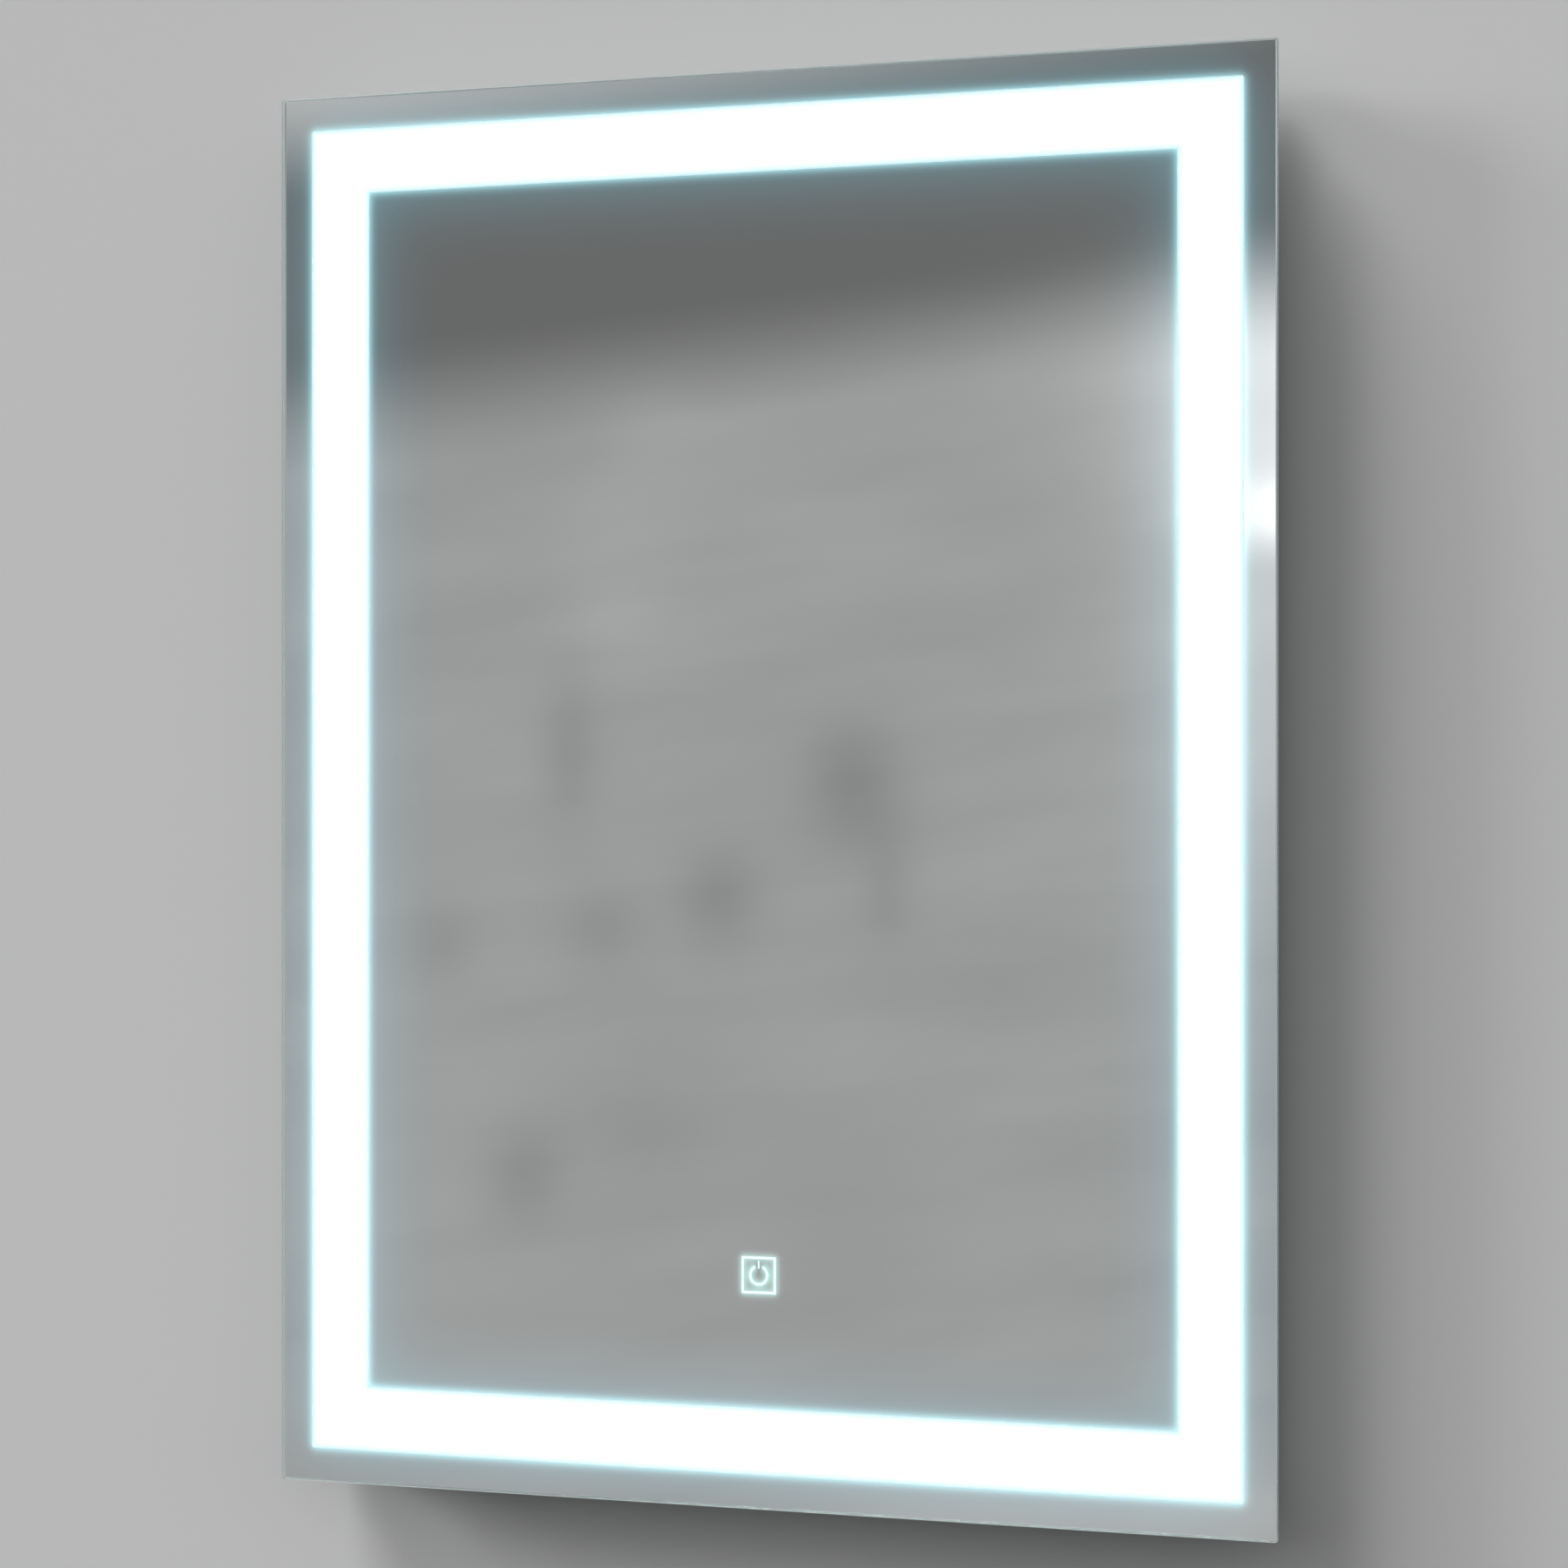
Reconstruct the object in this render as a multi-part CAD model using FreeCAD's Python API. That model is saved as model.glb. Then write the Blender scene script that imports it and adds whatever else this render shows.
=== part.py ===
import FreeCAD, Part
import math
import os

from FreeCAD import Vector

# A lighted bathroom mirror that hangs on a wall. A silvered pane has a band etched
# through its silvering all the way round. Behind the band runs a mitred aluminium
# trough that holds the light strips and opal diffusers. A pressed steel cover closes
# the back and carries the driver, the terminal box and a folded hanger, which hooks
# over a folded rail that is screwed to the wall. A touch switch sits behind a small
# etched mark near the pane's lower edge.
#
# All sizes are in millimetres. y = 0 is the wall and -Y points into the room.
# x = 0 is the mirror's middle, +Z is up and z = 0 is the line of the wall screws.
# A "stand" is a distance out from the wall, so y = -stand.

# ---- Pane -------------------------------------------------------------------------
pane_width = 600.0
pane_height = 800.0
pane_thickness = 4.0
pane_corner_radius = 1.5
pane_arris = 0.6
screw_line_below_top = 145.0

# ---- Silvering, and what is etched out of it ---------------------------------------
coat_thickness = 0.15
coat_gap = 0.05
band_margin = 18.75
band_width = 37.5
band_corner_radius = 2.0

# ---- Touch mark: a square line round a power sign ----------------------------------
mark_above_bottom = 130.0
mark_size = 21.0
mark_line = 1.7
mark_ring_radius = 5.1
mark_ring_line = 1.6
mark_ring_half_gap = 26.0
mark_stroke_low = 3.5
mark_stroke_gap = 0.8
mark_stroke_width = 1.2

# ---- Light trough, an extrusion with mitred corners --------------------------------
trough_depth = 27.0
trough_wall = 1.5
trough_edge_radius = 0.8
lip_reach = 5.75
lip_clearance = 0.5
tape_thickness = 1.0
tape_setback = 0.4
rib_reach = 2.5
rib_thickness = 1.2
chamber_web = 1.2
guide_width = 0.7
guide_height = 0.8
guide_play = 0.1

# ---- Opal diffuser strips in the trough --------------------------------------------
diffuser_thickness = 2.0
diffuser_play = 0.2

# ---- Corner keys --------------------------------------------------------------------
key_width = 9.8
key_thickness = 3.2
key_play = 0.2
key_leg = 40.0

# ---- Light strips -------------------------------------------------------------------
strip_width = 10.0
strip_thickness = 0.5
strip_end_gap = 25.0
led_pitch = 25.0
led_length = 3.5
led_width = 2.8
led_height = 0.7
jumper_diameter = 2.0
jumper_bend = 9.0

# ---- Back cover, pressed from sheet -------------------------------------------------
cover_thickness = 1.0
cover_bend_radius = 0.5
cover_setback = 2.0
cover_corner_radius = 6.0
plateau_rise = 2.0
plateau_setback = 6.0
plateau_corner_radius = 14.0
bead_rise = 1.2
bead_width = 18.0
bead_length = 300.0
bead_spacing = 260.0
bead_drop = 90.0
cover_screw_radius = 1.75
cover_screw_length = 5.0
cover_screw_head_radius = 3.6
cover_screw_head_height = 2.1
cover_screw_corner_gap = 138.0
screw_play = 0.1
pan_crown_share = 0.7

# ---- Wall rail and hanger, both folded from strip -----------------------------------
rail_thickness = 2.0
rail_play = 0.4
hook_wall_gap = 1.8
fold_inner_radius = 1.0
rail_length = 360.0
rail_foot = 16.0
rail_web_top = 8.0
hook_overlap = 11.5
hook_room = 1.8
seat_gap = 0.3
hanger_length = 360.0
hanger_web_height = 25.0
strip_end_radius = 5.0
wall_hole_radius = 2.75
wall_hole_end_gap = 30.0
wall_slot_spacing = 150.0
wall_slot_length = 16.0
rivet_radius = 2.0
rivet_head_radius = 3.8
rivet_head_height = 1.4
rivet_tail_radius = 2.9
rivet_tail_height = 2.4
rivet_count = 4
rivet_end_gap = 30.0

# ---- Wall bumpers --------------------------------------------------------------------
bumper_radius = 11.0
bumper_taper = 1.5
bumper_edge = 1.0
bumper_inset = 32.0

# ---- Grommet for the supply cable ------------------------------------------------------
grommet_bore_radius = 4.0
grommet_neck_radius = 8.0
grommet_flange_radius = 10.5
grommet_flange_height = 2.5
grommet_barb_height = 3.0
grommet_edge = 1.0
grommet_drop = 60.0

# ---- Terminal box -----------------------------------------------------------------------
terminal_box_width = 78.0
terminal_box_height = 46.0
terminal_box_depth = 20.0
terminal_box_wall = 1.8
terminal_box_radius = 4.0
terminal_lid_rim = 3.0
terminal_edge_gap = 45.0
services_above_centre = 150.0
terminal_pole_radius = 5.0
terminal_pole_pitch = 10.5
terminal_block_length = 22.0
terminal_base_height = 3.0
terminal_bore_radius = 3.0
terminal_body_edge = 1.0
sleeve_bore_radius = 1.6
sleeve_setback = 2.0
clamp_screw_radius = 1.2
clamp_screw_height = 3.5
clamp_screw_bite = 0.8
clamp_screw_well = 2.0
lid_screw_radius = 1.5
lid_screw_head_radius = 2.9
lid_screw_head_height = 1.7
lid_post_radius = 3.2
lid_post_sink = 0.8
lid_screw_length = 10.0

# ---- Driver -----------------------------------------------------------------------------
driver_length = 160.0
driver_width = 46.0
driver_base_depth = 14.0
driver_cover_depth = 10.0
driver_wall = 1.8
driver_radius = 4.0
driver_ear = 13.0
driver_ear_thickness = 2.5
driver_rib_count = 7
driver_rib_pitch = 16.0
driver_rib_width = 3.0
driver_rib_height = 1.0
driver_rib_edge = 1.0
driver_board_thickness = 1.6
driver_board_gap = 0.8
driver_board_play = 1.2
driver_foot_radius = 2.5
driver_foot_inset = 5.5
driver_part_gap = 0.8
driver_part_stagger = 7.0
transformer_length = 30.0
transformer_width = 26.0
capacitor_radius = 8.0
small_capacitor_radius = 5.0
small_capacitor_drop = 2.0
choke_length = 16.0
choke_width = 14.0
choke_drop = 4.0
moulded_edge = 1.0
driver_screw_radius = 1.75
driver_screw_grip = 1.5

# ---- Earth stud -----------------------------------------------------------------------------
earth_gap = 20.0
earth_stud_radius = 2.0
earth_stud_length = 13.0
earth_washer_radius = 4.5
earth_washer_thickness = 0.8
earth_nut_across_flats = 7.0
earth_nut_height = 3.2
earth_stud_bevel = 0.5
earth_ring_radius = 4.2
earth_ring_thickness = 0.8
earth_barrel_length = 6.0
earth_barrel_wall = 0.4

# ---- Touch switch module -----------------------------------------------------------------------
touch_module_size = 36.0
touch_window = 25.0
touch_tape_thickness = 0.5
touch_frame_depth = 4.0
touch_board_thickness = 1.6
touch_cover_depth = 9.0
touch_cover_wall = 1.5
touch_corner_radius = 1.0
touch_led_span = 15.0
touch_led_size = 2.4
touch_led_height = 0.8
touch_pad_radius = 5.0
touch_pad_height = 0.4

# ---- Internal leads --------------------------------------------------------------------------
lead_diameter = 3.6
lead_bend = 9.0
lead_hole_play = 0.5
lead_floor_gap = 0.2
lead_run_in = 4.0
lead_edge_gap = 19.5
lead_spacing = 25.0
lead_side_gap = 22.0
lead_climb = 9.0
clip_count = 4
clip_length = 9.0
clip_width = 12.0
clip_wall = 1.4
clip_play = 0.15
clip_corner_radius = 1.0

# ---- How far cutting shapes run past a face, and how near to a plane an edge must lie ---------
cut_past = 1.0
same_plane = 0.01

# ---- Worked out from the sizes above ---------------------------------------------------------
pane_centre_z = screw_line_below_top - pane_height / 2
pane_bottom_z = pane_centre_z - pane_height / 2

lip_back = hook_wall_gap + rail_thickness + rail_play
hanger_back = lip_back + rail_thickness + rail_play
plateau_back = hanger_back + rail_thickness
plateau_front = plateau_back + cover_thickness
flange_back = plateau_back + plateau_rise
trough_back = flange_back + cover_thickness
trough_front = trough_back + trough_depth
coat_back = trough_front + tape_thickness
coat_front = coat_back + coat_thickness
pane_back = coat_front + coat_gap
pane_front = pane_back + pane_thickness

trough_width = band_width + 2 * (lip_clearance + lip_reach)
trough_inset = band_margin - lip_clearance - lip_reach
frame_width = pane_width - 2 * trough_inset
frame_height = pane_height - 2 * trough_inset
opening_width = frame_width - 2 * trough_width
opening_height = frame_height - 2 * trough_width

chamber_width = key_width + 2 * key_play
chamber_height = key_thickness + 2 * key_play
screw_line = trough_width - trough_wall - chamber_width / 2
floor_front = trough_back + trough_wall
strip_front = floor_front + strip_thickness
led_front = strip_front + led_height

rail_top = rail_web_top + lip_back + hook_room + hook_overlap
diagonal = math.sqrt(0.5)
hanger_fold_z = (rail_top + seat_gap + (hanger_back - lip_back)
                 + rail_thickness * (0.5 + diagonal))
hanger_top_z = hanger_fold_z + hanger_web_height
rivet_z = hanger_fold_z + hanger_web_height / 2

wall_hole_x = rail_length / 2 - wall_hole_end_gap
rivet_reach = hanger_length / 2 - rivet_end_gap
rivet_positions = [-rivet_reach + n * 2 * rivet_reach / (rivet_count - 1) for n in range(rivet_count)]
plateau_width = opening_width - 2 * plateau_setback - 2 * plateau_rise
plateau_height = opening_height - 2 * plateau_setback - 2 * plateau_rise

services_z = pane_centre_z + services_above_centre
strip_lead_x = lead_edge_gap - plateau_width / 2
touch_lead_x = strip_lead_x + lead_spacing
driver_left = touch_lead_x + lead_side_gap + driver_ear
driver_right = driver_left + driver_length
driver_x = (driver_left + driver_right) / 2
terminal_x = plateau_width / 2 - terminal_edge_gap - terminal_box_width / 2
terminal_top_z = services_z + terminal_box_height / 2
grommet_z = services_z - grommet_drop
earth_z = terminal_top_z + earth_gap
mark_z = pane_bottom_z + mark_above_bottom
touch_frame_front = coat_back - touch_tape_thickness
touch_board_front = touch_frame_front - touch_frame_depth
touch_board_back = touch_board_front - touch_board_thickness
touch_cover_back = touch_board_back - touch_cover_depth
touch_entry_stand = (touch_cover_back + touch_cover_wall + touch_board_back) / 2

terminal_box_front = plateau_front + terminal_box_depth
driver_parting = plateau_front + driver_base_depth
driver_front = driver_parting + driver_cover_depth
lead_stand = plateau_front + max(driver_wall, terminal_box_wall) + lead_floor_gap + lead_diameter / 2
lead_hole_radius = lead_diameter / 2 + lead_hole_play
lead_entry_stand = (trough_front + floor_front + chamber_height + chamber_web) / 2

side_turn = {"top": 0.0, "right": 90.0, "bottom": 180.0, "left": 270.0}


# ---- Small helpers ---------------------------------------------------------------------------
def rounded_rectangle(x, z, width, height, radius):
    """Wire in the plane y = 0, with its corners rounded if the radius isn't zero."""
    right = x + width / 2
    left = x - width / 2
    top = z + height / 2
    bottom = z - height / 2
    if radius <= 0:
        corners = [(left, bottom), (right, bottom), (right, top), (left, top), (left, bottom)]
        return Part.makePolygon([Vector(a, 0, b) for a, b in corners])
    edges = []
    centres = [(right - radius, bottom + radius, -90), (right - radius, top - radius, 0),
               (left + radius, top - radius, 90), (left + radius, bottom + radius, 180)]
    arcs = []
    for cx, cz, start in centres:
        points = []
        for angle in (start, start + 45, start + 90):
            a = math.radians(angle)
            points.append(Vector(cx + radius * math.cos(a), 0, cz + radius * math.sin(a)))
        arcs.append(points)
    for here, following in zip(arcs, arcs[1:] + arcs[:1]):
        edges.append(Part.Arc(*here).toShape())
        edges.append(Part.LineSegment(here[2], following[0]).toShape())
    return Part.Wire(edges)


def obround(x, z, length, width, upright=False):
    """Wire in the plane y = 0: a slot with round ends."""
    radius = width / 2
    half = length / 2 - radius
    along = Vector(0, 0, 1) if upright else Vector(1, 0, 0)
    across = Vector(-1, 0, 0) if upright else Vector(0, 0, 1)
    middle = Vector(x, 0, z)
    head = middle + along * half
    tail = middle - along * half
    return Part.Wire([
        Part.LineSegment(tail - across * radius, head - across * radius).toShape(),
        Part.Arc(head - across * radius, head + along * radius, head + across * radius).toShape(),
        Part.LineSegment(head + across * radius, tail + across * radius).toShape(),
        Part.Arc(tail + across * radius, tail - along * radius, tail - across * radius).toShape(),
    ])


def at_stand(wire, stand):
    """The wire moved from y = 0 to that distance from the wall."""
    moved = wire.copy()
    moved.translate(Vector(0, -stand, 0))
    return moved


def plate(wire, back, front):
    """Solid with the wire's outline, between two distances from the wall."""
    face = Part.Face(at_stand(wire, back))
    return face.extrude(Vector(0, back - front, 0))


def block(x, z, width, height, back, front, radius=0.0):
    return plate(rounded_rectangle(x, z, width, height, radius), back, front)


def rod(x, z, radius, back, front):
    """Cylinder that points out from the wall."""
    return Part.makeCylinder(radius, front - back, Vector(x, -back, z), Vector(0, -1, 0))


def bar_along(start, direction, radius, length):
    return Part.makeCylinder(radius, length, start, direction)


def turned(x, z, outline):
    """Solid of revolution about an axis out from the wall. The outline is (radius, stand) pairs."""
    points = [Vector(x + radius, -stand, z) for radius, stand in outline]
    face = Part.Face(Part.makePolygon(points + points[:1]))
    return face.revolve(Vector(x, 0, z), Vector(0, 1, 0), 360)


def rounded_path(points, radius):
    """Straight runs through the points, joined by tangent arcs."""
    edges = []
    start = points[0]
    for before, corner, after in zip(points, points[1:], points[2:]):
        coming = (corner - before).normalize()
        going = (after - corner).normalize()
        half_turn = coming.getAngle(going) / 2
        reach = radius * math.tan(half_turn)
        inward = (going - coming).normalize()
        arc_start = corner - coming * reach
        arc_end = corner + going * reach
        arc_middle = corner + inward * (radius / math.cos(half_turn) - radius)
        edges.append(Part.LineSegment(start, arc_start).toShape())
        edges.append(Part.Arc(arc_start, arc_middle, arc_end).toShape())
        start = arc_end
    edges.append(Part.LineSegment(start, points[-1]).toShape())
    return Part.Wire(edges)


def lead(points, diameter, bend):
    """Round lead along straight runs and bends. The points are (x, stand, z)."""
    corners = [Vector(x, -stand, z) for x, stand, z in points]
    path = rounded_path(corners, bend)
    circle = Part.Wire(Part.makeCircle(diameter / 2, corners[0], corners[1] - corners[0]))
    return path.makePipeShell([circle], True, False)


def folded_strip(points, thickness, inner_radius, length):
    """Sheet folded along x. The points are (stand, z) on the sheet's middle surface."""
    corners = [Vector(-length / 2, -stand, z) for stand, z in points]
    path = rounded_path(corners, inner_radius + thickness / 2)
    run = (corners[1] - corners[0]).normalize()
    side = run.cross(Vector(1, 0, 0)) * (thickness / 2)
    along = Vector(length, 0, 0)
    ends = [corners[0] - side, corners[0] + side]
    rim = Part.makePolygon([ends[0], ends[1], ends[1] + along, ends[0] + along, ends[0]])
    return path.makePipeShell([rim], True, False)


def on_side(shape, side):
    """A shape made for the top side, turned to another side of the frame."""
    turned_shape = shape.copy()
    turned_shape.rotate(Vector(0, 0, pane_centre_z), Vector(0, 1, 0), side_turn[side])
    return turned_shape


def side_size(side):
    """(length of that side of the frame, distance from the middle to its outer face)."""
    if side in ("top", "bottom"):
        return frame_width, frame_height / 2
    return frame_height, frame_width / 2


def mitred_bar(side, outer, inner, back, front):
    """Bar along one side, mitred at both ends. outer and inner are depths in from the frame's edge."""
    length, reach = side_size(side)
    z = pane_centre_z + reach
    half = length / 2
    corners = [(-(half - outer), z - outer), (half - outer, z - outer),
               (half - inner, z - inner), (-(half - inner), z - inner)]
    wire = Part.makePolygon([Vector(a, 0, b) for a, b in corners + corners[:1]])
    return on_side(plate(wire, back, front), side)


def pan_screw(x, z, stand, radius, length, head_radius, head_height, inward=True):
    """Pan-head screw whose head seats at that stand. Inward screws point away from the wall."""
    way = 1 if inward else -1
    crown = stand - way * head_height
    tip = stand + way * length
    return turned(x, z, [(0, crown), (head_radius * pan_crown_share, crown), (head_radius, stand),
                         (radius, stand), (radius, tip), (0, tip)])


def save(name, *solids):
    shape = solids[0] if len(solids) == 1 else Part.makeCompound(list(solids))
    shape.exportStep(os.path.join("parts", name + ".step"))


# ---- Pane, silvering and etching -----------------------------------------------------------
def make_pane():
    body = block(0, pane_centre_z, pane_width, pane_height, pane_back, pane_front,
                 pane_corner_radius)
    rims = [edge for edge in body.Edges if edge.BoundBox.YLength < 0.001]
    save("glass_pane", body.makeChamfer(pane_arris, rims))


def coat_block(width, height, radius=0.0, z=pane_centre_z):
    return block(0, z, width, height, coat_back, coat_front, radius)


def make_mark():
    """The touch mark's lines, the silvering that is left inside it, and its outer square."""
    square = coat_block(mark_size, mark_size, 0.0, mark_z)
    inside = coat_block(mark_size - 2 * mark_line, mark_size - 2 * mark_line, 0.0, mark_z)
    ring = rod(0, mark_z, mark_ring_radius + mark_ring_line / 2, coat_back, coat_front)
    ring = ring.cut(rod(0, mark_z, mark_ring_radius - mark_ring_line / 2, coat_back, coat_front))
    wedge_height = mark_size / 2
    wedge_half = wedge_height * math.tan(math.radians(mark_ring_half_gap))
    wedge = Part.makePolygon([Vector(0, 0, mark_z), Vector(wedge_half, 0, mark_z + wedge_height),
                              Vector(-wedge_half, 0, mark_z + wedge_height), Vector(0, 0, mark_z)])
    ring = ring.cut(plate(wedge, coat_back, coat_front))
    stroke_high = mark_size / 2 - mark_line - mark_stroke_gap
    stroke = block(0, mark_z + (stroke_high + mark_stroke_low) / 2, mark_stroke_width,
                   stroke_high - mark_stroke_low, coat_back, coat_front)
    island = inside.cut(ring).cut(stroke)
    return [square.cut(inside), ring, stroke], island, square


def make_coat():
    whole = coat_block(pane_width - 2 * pane_arris, pane_height - 2 * pane_arris,
                       pane_corner_radius)
    band_outside = coat_block(pane_width - 2 * band_margin, pane_height - 2 * band_margin,
                              band_corner_radius)
    inset = 2 * (band_margin + band_width)
    band_inside = coat_block(pane_width - inset, pane_height - inset)
    lines, island, square = make_mark()
    save("silver_border", whole.cut(band_outside))
    save("etched_band", band_outside.cut(band_inside))
    save("silver_field", band_inside.cut(square), island)
    save("touch_mark", *[solid for line in lines for solid in line.Solids])


def make_tape():
    strips = []
    for side in side_turn:
        strips.append(mitred_bar(side, tape_setback, lip_reach - tape_setback,
                                 trough_front, coat_back))
        strips.append(mitred_bar(side, trough_width - lip_reach + tape_setback,
                                 trough_width - tape_setback, trough_front, coat_back))
    save("bonding_tape", *strips)


# ---- Light trough --------------------------------------------------------------------------
def trough_section():
    """The extrusion's section for the top side, as a face in a plane x = constant.

    u runs in from the outer wall and v back from the lips.
    """
    top = pane_centre_z + frame_height / 2

    def cell(u0, u1, v0, v1):
        corners = [(u0, v0), (u1, v0), (u1, v1), (u0, v1), (u0, v0)]
        return Part.Face(Part.makePolygon([Vector(0, v - trough_front, top - u)
                                           for u, v in corners]))

    def both(u0, u1, v0, v1):
        """The same cell at the outer and the inner wall."""
        return [cell(u0, u1, v0, v1), cell(trough_width - u1, trough_width - u0, v0, v1)]

    depth = trough_depth
    wall = trough_wall
    groove = diffuser_thickness + 2 * diffuser_play
    chamber_top = depth - wall - chamber_height
    web_inside = wall + chamber_width
    strip_half = strip_width / 2 + guide_play
    members = [cell(0, trough_width, depth - wall, depth)]
    members += both(0, wall, 0, depth)
    members += both(0, lip_reach, 0, wall)
    members += both(wall, wall + rib_reach, wall + groove, wall + groove + rib_thickness)
    members += both(wall, web_inside + chamber_web, chamber_top - chamber_web, chamber_top)
    members += both(web_inside, web_inside + chamber_web, chamber_top, depth - wall)
    members += both(trough_width / 2 - strip_half - guide_width, trough_width / 2 - strip_half,
                    depth - wall - guide_height, depth - wall)
    section = members[0].fuse(members[1:]).removeSplitter()
    return section.Faces[0]


def make_trough():
    section = trough_section()
    for side in side_turn:
        length, reach = side_size(side)
        face = section.copy()
        face.translate(Vector(-length / 2, 0, reach - frame_height / 2))
        bar = face.extrude(Vector(length, 0, 0))
        corner_z = pane_centre_z + reach
        long_edges = []
        for edge in bar.Edges:
            box = edge.BoundBox
            outside = min(abs(box.ZMin - corner_z), abs(box.ZMin - corner_z + trough_width)) < 0.001
            ends = min(abs(box.YMin + trough_front), abs(box.YMin + trough_back)) < 0.001
            if box.XLength > length / 2 and outside and ends:
                long_edges.append(edge)
        bar = bar.makeFillet(trough_edge_radius, long_edges)
        corners = [(-length / 2, corner_z), (length / 2, corner_z),
                   (length / 2 - trough_width, corner_z - trough_width),
                   (-length / 2 + trough_width, corner_z - trough_width)]
        mitre = Part.makePolygon([Vector(x, 0, z) for x, z in corners + corners[:1]])
        bar = bar.common(plate(mitre, trough_back, trough_front))
        for x in screw_places(side):
            bar = bar.cut(rod(x, corner_z - screw_line, cover_screw_radius + screw_play,
                              trough_back, floor_front))
        if side == "top":
            below = Vector(strip_lead_x, -lead_entry_stand, corner_z - trough_width - cut_past)
            bar = bar.cut(bar_along(below, Vector(0, 0, 1), lead_hole_radius,
                                    trough_wall + 2 * cut_past))
        save("trough_" + side, on_side(bar, side).Solids[0])


def screw_places(side):
    """Where the cover's screws are along that side, counted from its middle."""
    length, _ = side_size(side)
    span = length / 2 - cover_screw_corner_gap
    if side in ("top", "bottom"):
        return (-span, span)
    return (-span, 0.0, span)


def make_corner_keys():
    """L-shaped keys that slide into the chambers of two troughs and hold their mitre together."""
    back = floor_front + key_play
    front = back + key_thickness
    outer_start = trough_wall + key_play
    inner_start = trough_width - trough_wall - chamber_width + key_play
    keys = []
    for start in (outer_start, inner_start):
        end = start + key_width
        leg = start + key_leg
        for sx in (-1, 1):
            for sz in (-1, 1):
                corners = [(start, start), (leg, start), (leg, end), (end, end), (end, leg), (start, leg)]
                points = [Vector(sx * (frame_width / 2 - a), 0,
                                 pane_centre_z + sz * (frame_height / 2 - b)) for a, b in corners]
                keys.append(plate(Part.makePolygon(points + points[:1]), back, front))
    save("corner_keys", *keys)


def make_diffusers():
    edge = trough_wall + diffuser_play
    front = trough_front - trough_wall - diffuser_play
    for side in side_turn:
        save("diffuser_" + side, mitred_bar(side, edge, trough_width - edge,
                                            front - diffuser_thickness, front))


def strip_half_length(side):
    length, _ = side_size(side)
    return length / 2 - trough_width / 2 - strip_end_gap


def make_light_strips():
    for side in side_turn:
        _, reach = side_size(side)
        z = pane_centre_z + reach - trough_width / 2
        half = strip_half_length(side)
        strip = block(0, z, 2 * half, strip_width, floor_front, strip_front)
        save("light_strip_" + side, on_side(strip, side))
        count = int(2 * half / led_pitch)
        first = -(count - 1) / 2 * led_pitch
        chips = [on_side(block(first + n * led_pitch, z, led_length, led_width, strip_front, led_front),
                         side) for n in range(count)]
        save("leds_" + side, *chips)


def make_jumpers():
    """Leads that carry the strips' supply round three corners. The fourth has the feed."""
    stand = floor_front + jumper_diameter / 2
    line_x = frame_width / 2 - trough_width / 2
    line_z = frame_height / 2 - trough_width / 2
    jumpers = []
    for sx, sz in ((1, 1), (1, -1), (-1, -1)):
        points = [(sx * (line_x - strip_end_gap), stand, pane_centre_z + sz * line_z),
                  (sx * line_x, stand, pane_centre_z + sz * line_z),
                  (sx * line_x, stand, pane_centre_z + sz * (line_z - strip_end_gap))]
        jumpers.append(lead(points, jumper_diameter, jumper_bend))
    save("strip_jumpers", *jumpers)


# ---- Back cover ------------------------------------------------------------------------------
def pressed_boss(outline, back, rise):
    """A raised field of a pressed sheet, as (what stands out behind, what is hollow inside).

    outline(grow) gives the wire, grown outwards. The field's back is at the stand given,
    the sheet around it lies rise further out, and the flanks slope at 45 degrees.
    """
    bend = cover_thickness * math.tan(math.radians(22.5))
    outside = Part.makeLoft([at_stand(outline(0), back), at_stand(outline(rise), back + rise)],
                            True, True)
    inside = Part.makeLoft([at_stand(outline(-bend), back + cover_thickness),
                            at_stand(outline(rise - bend), back + rise + cover_thickness)],
                           True, True)
    return outside, inside


def round_bends(sheet, outline, back, rise):
    """Rounds the four bends of a pressed field, which lie in four planes along its outline."""
    reach = Part.Face(outline(rise + cover_bend_radius)).BoundBox
    for stand, radius in ((back, cover_bend_radius + cover_thickness),
                          (back + cover_thickness, cover_bend_radius),
                          (back + rise, cover_bend_radius),
                          (back + rise + cover_thickness, cover_bend_radius + cover_thickness)):
        bends = [edge for edge in sheet.Edges
                 if abs(edge.BoundBox.YMin + stand) < same_plane
                 and abs(edge.BoundBox.YMax + stand) < same_plane
                 and reach.XMin < edge.BoundBox.XMin and edge.BoundBox.XMax < reach.XMax
                 and reach.ZMin < edge.BoundBox.ZMin and edge.BoundBox.ZMax < reach.ZMax]
        sheet = sheet.makeFillet(radius, bends)
    return sheet


def plateau_outline(grow):
    return rounded_rectangle(0, pane_centre_z, plateau_width + 2 * grow, plateau_height + 2 * grow,
                             plateau_corner_radius + grow)


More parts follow.
